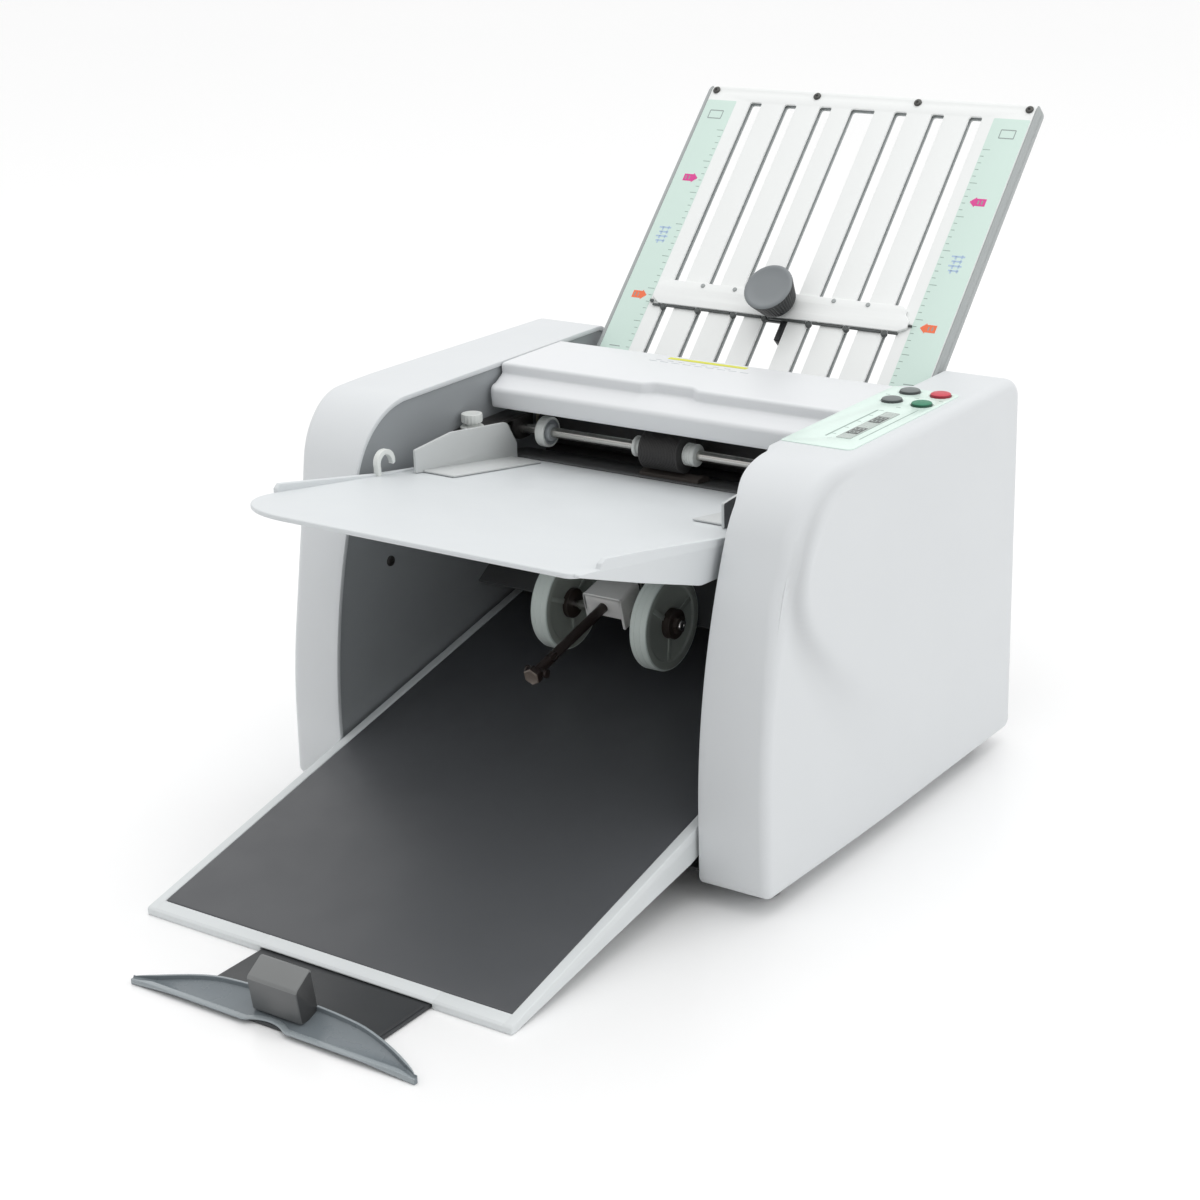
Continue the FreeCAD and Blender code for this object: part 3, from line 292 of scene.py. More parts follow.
# ---------------------------------------------------------------- mesh helpers
def arc3(a, b, c, n):
    """Points from a to c on the circle through a, b and c, without a."""
    (ax, ay), (bx, by), (cx, cy) = a, b, c
    d = 2 * (ax * (by - cy) + bx * (cy - ay) + cx * (ay - by))
    ux = ((ax * ax + ay * ay) * (by - cy) + (bx * bx + by * by) * (cy - ay) + (cx * cx + cy * cy) * (ay - by)) / d
    uy = ((ax * ax + ay * ay) * (cx - bx) + (bx * bx + by * by) * (ax - cx) + (cx * cx + cy * cy) * (bx - ax)) / d
    r = math.hypot(ax - ux, ay - uy)
    t0, t1, t2 = (math.atan2(p[1] - uy, p[0] - ux) for p in (a, b, c))
    tau = 2 * math.pi
    s1, s2 = (t1 - t0) % tau, (t2 - t0) % tau
    if s1 > s2:
        s2 -= tau
    return [(ux + r * math.cos(t0 + s2 * k / n), uy + r * math.sin(t0 + s2 * k / n)) for k in range(1, n + 1)]


def flat(path, n=10):
    out = []
    for p in path:
        if p[0] == "arc":
            out += arc3(out[-1], p[1], p[2], n)
        else:
            out.append(p)
    return out


def rounded(path, radii, n=5):
    """A closed polygon with its corners rounded: radii is one number or one per corner."""
    k = len(path)
    if not isinstance(radii, (list, tuple)):
        radii = [radii] * k
    out = []
    for i in range(k):
        p, a, b = Vector(path[i]), Vector(path[i - 1]), Vector(path[(i + 1) % k])
        da, db = (a - p), (b - p)
        la, lb = da.length, db.length
        if la < 1e-6 or lb < 1e-6:
            continue
        da, db = da / la, db / lb
        cosv = max(-1.0, min(1.0, da.dot(db)))
        half = math.acos(cosv) / 2
        r = radii[i]
        if r <= 0 or half > math.radians(88):
            out.append(tuple(p))
            continue
        t = min(r / math.tan(half), la * 0.49, lb * 0.49)
        rr = t * math.tan(half)
        c = p + (da + db).normalized() * (rr / math.sin(half))
        s, e = p + da * t, p + db * t
        a0, a1 = math.atan2(s.y - c.y, s.x - c.x), math.atan2(e.y - c.y, e.x - c.x)
        d = (a1 - a0 + math.pi) % (2 * math.pi) - math.pi
        for j in range(n + 1):
            t2 = a0 + d * j / n
            out.append((c.x + rr * math.cos(t2), c.y + rr * math.sin(t2)))
    return out


def link(name, me):
    o = bpy.data.objects.new(name, me)
    bpy.context.scene.collection.objects.link(o)
    return o


def raw(name, verts, faces, mats, T=ONE, fmat=None, angle=32.0, fix=True):
    """A mesh object from working coordinates, faces turned outwards, smooth below the given angle."""
    me = bpy.data.meshes.new(name)
    me.from_pydata([tuple(v) for v in verts], [], faces)
    me.transform(TO_ROW @ T)
    for m in (mats if isinstance(mats, (list, tuple)) else [mats]):
        me.materials.append(m)
    if fmat is not None:
        me.polygons.foreach_set("material_index", fmat)
    if fix:
        import bmesh
        bm = bmesh.new()
        bm.from_mesh(me)
        bmesh.ops.remove_doubles(bm, verts=bm.verts, dist=1e-7)
        bmesh.ops.dissolve_degenerate(bm, edges=bm.edges, dist=1e-8)
        bmesh.ops.recalc_face_normals(bm, faces=bm.faces)
        bm.to_mesh(me)
        bm.free()
    me.polygons.foreach_set("use_smooth", [True] * len(me.polygons))
    me.set_sharp_from_angle(angle=math.radians(angle))
    me.update()
    return link(name, me)


def bevel(o, w, seg=2, angle=35.0):
    b = o.modifiers.new("soft_edges", "BEVEL")
    b.width = w * 0.001
    b.segments = seg
    b.limit_method = "ANGLE"
    b.angle_limit = math.radians(angle)
    b.harden_normals = True
    b.use_clamp_overlap = True
    return o


def xprism(name, path, x0, x1, mat, w=0.5, seg=2, T=ONE, angle=35.0):
    """A path in (y, z) drawn out along x."""
    p = flat(path)
    n = len(p)
    verts = [(x0, y, z) for y, z in p] + [(x1, y, z) for y, z in p]
    faces = [tuple(range(n)), tuple(range(2 * n - 1, n - 1, -1))] + [(i, (i + 1) % n, n + (i + 1) % n, n + i) for i in range(n)]
    o = raw(name, verts, faces, mat, T)
    return bevel(o, w, seg, angle) if w else o


def loft(name, rings, mats, T=ONE, cap=(True, True), fmat=None, angle=32.0, closed=True):
    """Rings with the same number of points, joined one to the next."""
    n = len(rings[0])
    verts = [v for r in rings for v in r]
    faces, mi = [], []
    for k in range(len(rings) - 1):
        for i in range(n if closed else n - 1):
            j = (i + 1) % n
            faces.append((k * n + i, k * n + j, (k + 1) * n + j, (k + 1) * n + i))
            mi.append(fmat(k, i) if fmat else 0)
    if cap[0]:
        faces.append(tuple(range(n - 1, -1, -1)))
        mi.append(fmat(0, 0) if fmat else 0)
    if cap[1]:
        faces.append(tuple((len(rings) - 1) * n + i for i in range(n)))
        mi.append(fmat(len(rings) - 2, 0) if fmat else 0)
    return raw(name, verts, faces, mats, T, fmat=mi if fmat else None, angle=angle)


def lathe(name, profile, mats, T=ONE, axis="z", n=64, fmat=None, ribs=None, angle=32.0):
    """profile: (r, h) from one end of the axis to the other. ribs = (count, depth, h0, h1) roughens the side between those heights."""
    rings = []
    for r, h in profile:
        ring = []
        for i in range(n):
            t = 2 * math.pi * i / n
            rr = r
            if ribs and ribs[2] <= h <= ribs[3]:
                rr = r - ribs[1] * (0.5 + 0.5 * math.cos(ribs[0] * t))
            c, s = rr * math.cos(t), rr * math.sin(t)
            ring.append({"z": (c, s, h), "x": (h, c, s), "y": (s, h, c)}[axis])
        rings.append(ring)
    return loft(name, rings, mats, T, fmat=fmat, angle=angle)


def sheet2d(name, outer, holes, z0, z1, mat, w=0.35, T=ONE, res=2, angle=32.0):
    """A flat plate with holes, its rims rounded: outlines in (x, y), thickness from z0 to z1."""
    cu = bpy.data.curves.new(name, "CURVE")
    cu.dimensions = "2D"
    cu.fill_mode = "BOTH"
    cu.extrude = (z1 - z0) / 2 - w
    cu.bevel_depth = w
    cu.bevel_resolution = res
    cu.offset = -w
    for loop in [outer] + list(holes):
        s = cu.splines.new("POLY")
        s.points.add(len(loop) - 1)
        for p, q in zip(s.points, loop):
            p.co = (q[0], q[1], 0.0, 1.0)
        s.use_cyclic_u = True
    tmp = bpy.data.objects.new(name + "_outline", cu)
    bpy.context.scene.collection.objects.link(tmp)
    dg = bpy.context.evaluated_depsgraph_get()
    dg.update()
    me = bpy.data.meshes.new_from_object(tmp.evaluated_get(dg))
    bpy.data.objects.remove(tmp)
    bpy.data.curves.remove(cu)
    me.name = name
    me.transform(TO_ROW @ T @ Matrix.Translation((0, 0, (z0 + z1) / 2)))
    me.materials.clear()
    me.materials.append(mat)
    import bmesh
    bm = bmesh.new()
    bm.from_mesh(me)
    bmesh.ops.remove_doubles(bm, verts=bm.verts, dist=2e-6)
    bmesh.ops.dissolve_degenerate(bm, edges=bm.edges, dist=1e-7)
    bmesh.ops.recalc_face_normals(bm, faces=bm.faces)
    bm.to_mesh(me)
    bm.free()
    me.polygons.foreach_set("use_smooth", [True] * len(me.polygons))
    me.set_sharp_from_angle(angle=math.radians(angle))
    return link(name, me)


def blocks(name, boxes, mat, T=ONE, w=0.1, seg=1):
    """Several small bars in one piece, edges broken."""
    verts, faces = [], []
    for x0, x1, y0, y1, z0, z1 in boxes:
        k = len(verts)
        verts += [(x, y, z) for z in (z0, z1) for x, y in ((x0, y0), (x1, y0), (x1, y1), (x0, y1))]
        faces += [tuple(k + i for i in f) for f in ((3, 2, 1, 0), (4, 5, 6, 7), (0, 1, 5, 4), (1, 2, 6, 5), (2, 3, 7, 6), (3, 0, 4, 7))]
    o = raw(name, verts, faces, mat, T, fix=False)
    return bevel(o, w, seg) if w else o


def join(name, objs):
    """One piece from several, their modifiers applied first."""
    dg = bpy.context.evaluated_depsgraph_get()
    dg.update()
    meshes = []
    for o in objs:
        meshes.append(bpy.data.meshes.new_from_object(o.evaluated_get(dg), preserve_all_data_layers=True, depsgraph=dg))
    import bmesh
    mats = []
    verts, faces, mi, sm, sharp = [], [], [], [], []
    for me in meshes:
        base = len(verts)
        verts += [tuple(v.co) for v in me.vertices]
        idx = []
        for m in me.materials:
            if m not in mats:
                mats.append(m)
            idx.append(mats.index(m))
        for p in me.polygons:
            faces.append(tuple(base + v for v in p.vertices))
            mi.append(idx[p.material_index] if idx else 0)
            sm.append(p.use_smooth)
    out = bpy.data.meshes.new(name)
    out.from_pydata(verts, [], faces)
    for m in mats:
        out.materials.append(m)
    out.polygons.foreach_set("material_index", mi)
    out.polygons.foreach_set("use_smooth", sm)
    out.set_sharp_from_angle(angle=math.radians(32.0))
    out.update()
    for o in objs:
        bpy.data.objects.remove(o)
    return link(name, out)


def give(o, body, slot, *nodes):
    """Rides on a body and stands for CAD nodes, which it hides. slot: not used."""
    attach(o, body)
    if nodes:
        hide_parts(*nodes)
    return o


# ---------------------------------------------------------------- side covers
RA, CA, T1 = 378.5, (378.5, 40.0), math.radians(23.35)
RB = (222.0 - 40.0 - RA * math.sin(T1)) / (1.0 - math.sin(T1))
P1 = (CA[0] - RA * math.cos(T1), CA[1] + RA * math.sin(T1))
CB = (P1[0] + RB * math.cos(T1), P1[1] - RB * math.sin(T1))
SEGS = [("frontfoot", 7), ("front", 10), ("sweep", 44), ("shoulder", 46), ("top", 70), ("rearround", 10), ("rear", 54), ("rearfoot", 6), ("bottom", 70)]


def edge_point(seg, t, e):
    """A cover's side outline set in by e, as (y, z)."""
    if seg == "frontfoot":
        c = max(6.5, e + 0.4)
        a = math.radians(270 - 90 * t)
        return (c + (c - e) * math.cos(a), c + (c - e) * math.sin(a))
    if seg == "front":
        z0 = max(6.5, e + 0.4)
        return (e, z0 + (40.0 - z0) * t)
    if seg == "sweep":
        a = T1 * t
        return (CA[0] - (RA - e) * math.cos(a), CA[1] + (RA - e) * math.sin(a))
    if seg == "shoulder":
        a = T1 + (math.pi / 2 - T1) * t
        return (CB[0] - (RB - e) * math.cos(a), CB[1] + (RB - e) * math.sin(a))
    c = max(12.0, e + 0.4)
    if seg == "top":
        return (CB[0] + (290.0 - c - CB[0]) * t, 222.0 - e)
    if seg == "rearround":
        a = math.radians(90 - 90 * t)
        return (290.0 - c + (c - e) * math.cos(a), 222.0 - c + (c - e) * math.sin(a))
    b = max(8.0, e + 0.4)
    if seg == "rear":
        return (290.0 - e, 222.0 - c + (b - 222.0 + c) * t)
    if seg == "rearfoot":
        a = math.radians(0 - 90 * t)
        return (290.0 - b + (b - e) * math.cos(a), b + (b - e) * math.sin(a))
    f = max(6.5, e + 0.4)
    return (290.0 - b + (f - 290.0 + b) * t, e)


STATIONS = [(s, k / n) for s, n in SEGS for k in range(n)]


def outer_x(sgn, y, z):
    """Where the outer face stands: flat on the right; the left one leans out above the tray, less towards the rear."""
    y, z = np.asarray(y, float), np.asarray(z, float)
    if sgn > 0:
        return np.full(np.broadcast(y, z).shape, 170.5)
    run, rise = 119.5, 17.0
    R = (run * run + rise * rise) / (2.0 * rise)
    h = np.clip(z - 98.0, 0.0, run)
    return 165.0 + (R - np.sqrt(R * R - h * h)) * (1.0 - 0.35 * np.clip((y - 112.0) / 178.0, 0.0, 1.0))


def left_radius(seg, t):
    return {"frontfoot": 4.2 + 2.8 * t, "front": 7.0, "sweep": 7.0, "shoulder": 7.0 - 2.2 * smooth01((t - 0.35) / 0.65), "top": 4.8,
            "rearround": 4.8, "rear": 5.0, "rearfoot": 5.0 - 2.5 * t, "bottom": 2.5 + 1.7 * smooth01((t - 0.6) / 0.4)}[seg]


def corner_radius(seg, t):
    if seg == "frontfoot":
        return 4.2 + 1.4 * t
    if seg == "front":
        return 5.6
    if seg == "sweep":
        return 5.6 + 4.4 * ramp(t, 0.35, 1.0)
    if seg == "shoulder":
        return 10.0 - 1.5 * t
    if seg == "top":
        return 8.5 - 1.5 * smooth01(t * 1.4)
    if seg == "rearround":
        return 7.0 - 1.0 * t
    if seg == "rear":
        return 6.0
    if seg == "rearfoot":
        return 6.0 - 3.5 * t
    return 2.5 + 1.7 * smooth01((t - 0.6) / 0.4)


def catmull(pts, per=9):
    p = [np.array(q, float) for q in pts]
    p = [2 * p[0] - p[1]] + p + [2 * p[-1] - p[-2]]
    out = []
    for i in range(1, len(p) - 2):
        for k in range(per):
            t = k / per
            out.append(0.5 * ((2 * p[i]) + (-p[i - 1] + p[i + 1]) * t + (2 * p[i - 1] - 5 * p[i] + 4 * p[i + 1] - p[i + 2]) * t * t
                              + (-p[i - 1] + 3 * p[i] - 3 * p[i + 1] + p[i + 2]) * t ** 3))
    out.append(p[-2])
    return np.array(out)


# the fold that runs over the side face in a C: y, z, height of the step, width of the step
FOLD = catmull([(196, 221.0, 0.0, 7), (150, 220.0, 0.2, 7), (118, 218.5, 0.7, 7), (97, 217.5, 1.4, 7), (78, 214.5, 2.2, 7), (64, 209.0, 3.0, 7), (52.5, 201.0, 3.7, 7), (44, 191.0, 4.3, 7.5),
                (37, 179.0, 4.7, 8.0), (33.5, 165.0, 4.9, 9.0), (34.5, 152.0, 4.9, 10.5), (41, 138.0, 4.5, 13.0), (52, 124.0, 3.8, 16.0), (69, 106.0, 2.8, 21.0),
                (92, 86.0, 1.7, 27.0), (122, 64.0, 0.7, 32.0), (157, 44.5, 0.0, 36.0)])


def side_relief(Y, Z):
    """How far the side face lies inside its flat plane."""
    pts = np.stack([Y, Z], -1)[:, None, :]
    a, b = FOLD[:-1, :2][None], FOLD[1:, :2][None]
    ab = b - a
    t = np.clip(((pts - a) * ab).sum(-1) / (ab * ab).sum(-1), 0, 1)
    q = a + ab * t[..., None]
    d = np.hypot(pts[..., 0] - q[..., 0], pts[..., 1] - q[..., 1])
    k = d.argmin(1)
    i = np.arange(len(k))
    tt = t[i, k]
    height = FOLD[k, 2] * (1 - tt) + FOLD[k + 1, 2] * tt
    width = FOLD[k, 3] * (1 - tt) + FOLD[k + 1, 3] * tt
    seg = (FOLD[k + 1, :2] - FOLD[k, :2])
    rel = pts[:, 0, :] - FOLD[k, :2]
    side = seg[:, 0] * rel[:, 1] - seg[:, 1] * rel[:, 0]      # below the line's left hand is the face, above it the edge strip
    dist = np.where(side < 0, d[i, k], -d[i, k])
    s = np.clip(dist / width + 0.62, 0, 1)
    s = s * s * (3 - 2 * s)
    return height * s


def painted_shade_band(Y, Z):
    """Painted shade mask: 1 along the foot of the C fold, 0 away from it."""
    pts = np.stack([Y, Z], -1)[:, None, :]
    a, b = FOLD[:-1, :2][None], FOLD[1:, :2][None]
    ab = b - a
    t = np.clip(((pts - a) * ab).sum(-1) / (ab * ab).sum(-1), 0, 1)
    q = a + ab * t[..., None]
    d = np.hypot(pts[..., 0] - q[..., 0], pts[..., 1] - q[..., 1])
    k = d.argmin(1)
    i = np.arange(len(k))
    tt = t[i, k]
    height = FOLD[k, 2] * (1 - tt) + FOLD[k + 1, 2] * tt
    width = FOLD[k, 3] * (1 - tt) + FOLD[k + 1, 3] * tt
    seg = FOLD[k + 1, :2] - FOLD[k, :2]
    rel = pts[:, 0, :] - FOLD[k, :2]
    side = seg[:, 0] * rel[:, 1] - seg[:, 1] * rel[:, 0]
    dist = np.where(side < 0, d[i, k], -d[i, k]) / width
    g = np.clip(1.0 - np.abs(dist - 0.05) / np.where(dist > 0.05, 1.3, 0.55), 0.0, 1.0)
    return (height / 4.9) ** 1.7 * g * g * (3 - 2 * g)


def cover(sgn):
    name = "right_cover_shell" if sgn > 0 else "left_cover_shell"
    n = len(STATIONS)
    rad = np.array([(corner_radius if sgn > 0 else left_radius)(s, t) for s, t in STATIONS])
    base = np.array([edge_point(s, t, 0.0) for s, t in STATIONS])
    face = np.array([edge_point(s, t, r) for (s, t), r in zip(STATIONS, rad)])
    rel = side_relief(face[:, 0], face[:, 1])
    XO = outer_x(sgn, face[:, 0], face[:, 1])
    # inner rim: plain at x 125; on the right the top runs in over the edge of the hood
    xin = np.full(n, 125.0)
    ein = np.full(n, 3.0)
    if sgn > 0:
        for i, ((s, t), (y, z)) in enumerate(zip(STATIONS, base)):
            k = 0.0
            if s == "shoulder":
                k = 0.50 * ramp(z, 203.0, 219.0)
            elif s == "top":
                k = (0.50 + 0.50 * ramp(y, 79.0, 93.0)) * (1.0 - ramp(y, 234.0, 238.0))
            xin[i] = 125.0 - 9.2 * k
            ein[i] = 3.0 + 0.5 * min(1, k * 3) + (3.5 * ramp(y, 60.0, 84.0) * k if s in ("shoulder", "top") else 0.0)
    inner_deep = np.array([edge_point(s, t, 3.0) for s, t in STATIONS])

    def ring(x, e):
        x = np.broadcast_to(x, (n,))
        e = np.broadcast_to(e, (n,))
        return [(sgn * float(x[i]),) + edge_point(*STATIONS[i], float(e[i])) for i in range(n)]

    rings = []
    # inside, from the middle of the side wall out to the rim
    cy, cz = 160.0, 100.0
    for f in (0.0, 0.5, 1.0):
        rings.append([(sgn * (164.0 if sgn > 0 else 158.5), cy + (inner_deep[i][0] - cy) * max(f, 0.004), cz + (inner_deep[i][1] - cz) * max(f, 0.004)) for i in range(n)])
    rings.append(ring(126.6, 3.0))
    rings.append(ring(126.1, ein))
    rings.append(ring(xin + 0.25, ein))
    rings.append(ring(xin, ein - 0.3))
    rings.append(ring(xin, 0.55))
    rings.append(ring(xin + 0.16, 0.16))
    rings.append(ring(xin + 0.6, 0.0))
    top = XO - rel - rad
    for f in (0.12, 0.5, 1.0):
        rings.append(ring(xin + 0.6 + (top - xin - 0.6) * f, 0.0))
    steps = 9
    for k in range(1, steps + 1):
        a = math.pi / 2 * k / steps
        rings.append(ring(XO - rel - rad + rad * math.sin(a), rad * (1 - math.cos(a))))
    # side face as a height field closing on its middle
    fr = []
    f = 1.0
    while f > 0.02:
        f -= 0.0085 if f > 0.55 else 0.02
        fr.append(max(f, 0.006))
    for f in fr:
        Y = cy + (face[:, 0] - cy) * f
        Z = cz + (face[:, 1] - cz) * f
        X = outer_x(sgn, Y, Z) - side_relief(Y, Z)
        rings.append([(sgn * float(X[i]), float(Y[i]), float(Z[i])) for i in range(n)])
    o = loft(name, rings, COVER, angle=40.0)
    co = np.empty(len(o.data.vertices) * 3)
    o.data.vertices.foreach_get("co", co)
    back = np.array(TO_ROW.inverted())
    co = co.reshape(-1, 3) @ back[:3, :3].T + back[:3, 3]
    # painted shade along the foot of the fold, kept in the mesh attribute 'fold'
    painted_shade_mask = painted_shade_band(co[:, 1], co[:, 2]) * (np.abs(co[:, 0]) > (164.5 if sgn > 0 else 158.9))
    att = o.data.attributes.new("fold", "FLOAT", "POINT")
    att.data.foreach_set("value", painted_shade_mask.astype(np.float32))
    return o


give(cover(1), "frame", "cover_plastic", "right_cover")
give(cover(-1), "frame", "cover_plastic", "left_cover")


# ---------------------------------------------------------------- hood
def hood():
    def section(sh, endk):
        """Closed outline in (y, z). sh: how far the ridge lies back, endk: not used."""
        o = []
        o += [(235.0, 205.6), (235.0, 219.6)]
        for k in range(1, 6):
            a = math.pi / 2 * k / 5
            o.append((232.6 + 2.4 * math.cos(a), 219.6 + 2.3 * math.sin(a)))
        o += [(215.0, 221.85), (195.0, 221.8), (181.0 + sh * 0.4, 221.7)]
        ry = 171.0 + sh
        for k in range(0, 7):
            a = math.radians(90 + 80 * k / 6)
            o.append((ry + 2.2 + 2.2 * math.cos(a), 219.3 + 2.3 * math.sin(a)))
        o += [(ry + 0.15, 217.4), (ry + 0.3, 215.6)]
        by = ry
        for k in range(1, 5):
            a = math.radians(0 - 62 * k / 4)
            o.append((by - 1.2 + 1.5 * math.cos(a), 215.2 + 1.2 * math.sin(a) + 0.2))
        o += [(165.2, 212.1), (161.6, 210.6)]
        nose = 3.6
        for k in range(0, 9):
            a = math.radians(112 + 74 * k / 8)
            o.append((159.9 + nose * math.cos(a) * 1.05 - 0.1, 206.6 + nose * math.sin(a)))
        o += [(156.2, 203.0), (156.55, 199.4), (156.8, 197.5)]
        o += [(157.2, 197.0), (158.9, 197.0), (159.2, 197.6), (159.1, 201.0), (159.0, 204.6), (160.6, 206.9), (166.0, 209.4), (ry + 1.6, 212.2), (ry + 2.6, 218.4), (232.2, 219.2), (232.5, 218.6), (232.5, 205.6), (232.9, 205.0), (234.6, 205.0)]
        return o

    X0, X1 = -124.0, 115.5
    xs = []
    for d in (0.0, 0.25, 0.8, 1.6, 2.8, 4.2, 6.0):
        xs.append(X0 + d)
    x = X0 + 9.0
    while x < -26:
        xs.append(x)
        x += 6.0
    x = -26.0
    while x < 26:
        xs.append(x)
        x += 0.9
    x = 27.0
    while x < X1 - 9:
        xs.append(x)
        x += 6.0
    for d in (6.0, 4.2, 2.8, 1.6, 0.8, 0.25, 0.0):
        xs.append(X1 - d)
    rings = []
    for x in xs:
        sh = 5.6 * ramp(x, -21.5, -12.5) * (1.0 - ramp(x, 10.5, 20.5))
        d = min(x - X0, X1 - x)
        sec = section(sh, 1.0)
        ring = []
        r_end = 4.6
        pull = r_end - math.sqrt(max(0.0, r_end ** 2 - (r_end - d) ** 2)) if d < r_end else 0.0
        for y, z in sec:
            # the lip's ends round off towards the rear
            k = max(0.0, min(1.0, (170.0 - y) / 10.0))
            yy = y + pull * 0.85 * k
            zz = z
            if d < 0.8:
                lip = (0.8 - d) * 0.55
                if z > 219.0:
                    zz = z - lip
            ring.append((x, yy, zz))
        rings.append(ring)
    shell = loft("hood_shell", rings, HOOD, angle=38.0)
    CHK = [(159.3, 199), (159.8, 205), (161.8, 207.2), (171.6, 211.6), (173, 218.2), (231.8, 218.9), (232, 198), (221, 198), (206, 208), (168, 205)]
    parts = [shell, xprism("cheek_l", CHK, -123.6, -121.3, HOOD, 0.4), xprism("cheek_r", CHK, 112.8, 115.1, HOOD, 0.4)]
    parts.append(lathe("pin_l", [(2.0, -129.0), (2.5, -128.5), (2.5, -122.0)], SCREW, tilted(228, 204, 0), axis="x", n=32))
    parts.append(lathe("pin_r", [(2.5, 114.0), (2.5, 128.5), (2.0, 129.0)], SCREW, tilted(228, 204, 0), axis="x", n=32))
    # three ribs under the top, between the cheeks
    for c in (-62.0, 0.0, 56.0):
        parts.append(xprism("rib", [(176.5, 218.6), (231.5, 219.1), (231.5, 214.5), (206, 213.6), (178.5, 214.2)], c - 0.9, c + 0.9, HOOD, 0.3))
    return join("hood", parts)


give(hood(), "hood", "hood_plastic", "top_hood")
give(blocks("hood_label", [(-37.5, 18.6, 226.2, 230.0, 221.9, 222.05)], YELLOW, w=0.05), "hood", "hood_plastic")
faint = []
for k in range(9):
    x = -46.0 + 8.2 * k
    faint.append((x, x + 5.6, 218.2, 218.9, 221.86, 221.97))
    if k < 7:
        faint.append((x + 3.0, x + 7.4, 221.6, 222.2, 221.86, 221.98))
give(blocks("hood_lines", faint, FAINT, w=0.02), "hood", "hood_plastic")


# ---------------------------------------------------------------- control strip
def rounded_rect(x0, x1, y0, y1, r, n=6):
    return rounded([(x0, y0), (x1, y0), (x1, y1), (x0, y1)], r, n)


def circle(x, y, r, n=48):
    return [(x + r * math.cos(2 * math.pi * k / n), y + r * math.sin(2 * math.pi * k / n)) for k in range(n)]


BTN = [("plus", 131.3, 223.6, (GREYB, GREY_SHADED_SIDE), "grey_button"), ("minus", 130.9, 202.2, (GREYB, GREY_SHADED_SIDE), "grey_button"), ("start", 150.2, 201.6, (GREENB, GREEN_SHADED_SIDE), "green_button"), ("stop", 150.6, 224.3, (REDB, RED_SHADED_SIDE), "red_button")]
strip = sheet2d("control_film", rounded([(116.3, 101.8), (159.8, 101.8), (159.8, 231.8), (116.3, 231.8)], [1.5, 4.0, 4.0, 1.5]),
                [rounded_rect(139.8, 148.9, 120.3, 178.7, 1.2)] + [circle(x, y, 6.6) for _, x, y, _, _ in BTN], 221.7, 222.55, STRIP, w=0.22)
give(strip, "frame", "strip_plastic", "control_panel")
win = sheet2d("display_glass", rounded_rect(139.95, 148.75, 120.45, 178.55, 1.0), [], 221.6, 222.75, WINDOW, w=0.2)
give(win, "frame", "window_plastic", "display_window")
digs, segs = [], []
for yc in (136.4, 161.6):
    digs.append((140.9, 147.9, yc - 6.4, yc + 6.4, 222.7, 222.86))
    for k in (-1, 1):
        y0 = yc + k * 3.1
        for a, b, c, d in ((141.8, 147.0, -2.0, -1.5), (141.8, 147.0, 1.5, 2.0), (141.8, 142.3, -2.0, 2.0), (144.15, 144.65, -2.0, 2.0), (146.5, 147.0, -2.0, 2.0)):
            segs.append((a, b, y0 + c, y0 + d, 222.82, 222.93))
give(blocks("display_digits", digs, DIGIT, w=0.06), "frame", "window_plastic")
give(blocks("display_segments", segs, WINDOW, w=0.02), "frame", "window_plastic")
marks = [(133.2, 134.4, 120.5, 180.5, 222.5, 222.6), (153.4, 154.2, 122.0, 190.0, 222.5, 222.6)]
for y in (126.0, 140.0, 154.0, 168.0, 180.0):
    marks.append((134.6, 137.2, y, y + 0.6, 222.5, 222.6))
for x, y in ((141.2, 213.0), (141.2, 190.5), (122.4, 213.4), (156.6, 213.0)):
    marks.append((x - 1.4, x + 1.4, y - 0.35, y + 0.35, 222.5, 222.62))
give(blocks("strip_marks", marks, TICK, w=0.02), "frame", "strip_plastic")
for nme, x, y, mt, sl in BTN:
    prof = [(5.8, 212.2), (6.1, 212.6), (6.1, 223.1), (5.85, 223.75)]
    for k in range(1, 9):
        a = k / 8.0
        prof.append((5.85 * math.cos(math.pi / 2 * a) if k < 8 else 0.05, 223.75 + 1.0 * math.sin(math.pi / 2 * a)))
    # the side of each key takes the painted shade copy
    b = lathe("button_%s_cap" % nme, prof, list(mt), Matrix.Translation((x, y, 0.0)), n=56, fmat=lambda k, i: 1 if k < 3 else 0)
    give(b, nme + "_key", sl, "button_" + nme)


# ---------------------------------------------------------------- feed table, guides and feed shaft
def deck_z(y):
    return 205.0 - 0.1545 * (y + 97.0)


def offset_loop(pts, e):
    """A closed loop set in by e (counter-clockwise)."""
    n = len(pts)
    out = []
    for i in range(n):
        p, a, b = Vector(pts[i]), Vector(pts[i - 1]), Vector(pts[(i + 1) % n])
        t1, t2 = (p - a).normalized(), (b - p).normalized()
        n1, n2 = Vector((-t1.y, t1.x)), Vector((-t2.y, t2.x))
        m = n1 + n2
        if m.length < 1e-6:
            m = n1
        m.normalize()
        k = max(0.3, m.dot(n1))
        out.append((p.x + m.x * e / k, p.y + m.y * e / k))
    return out


def densify(loop, step):
    out = []
    for i, p in enumerate(loop):
        q = loop[(i + 1) % len(loop)]
        d = math.dist(p, q)
        k = max(1, int(d / step))
        out += [(p[0] + (q[0] - p[0]) * j / k, p[1] + (q[1] - p[1]) * j / k) for j in range(k)]
    return out


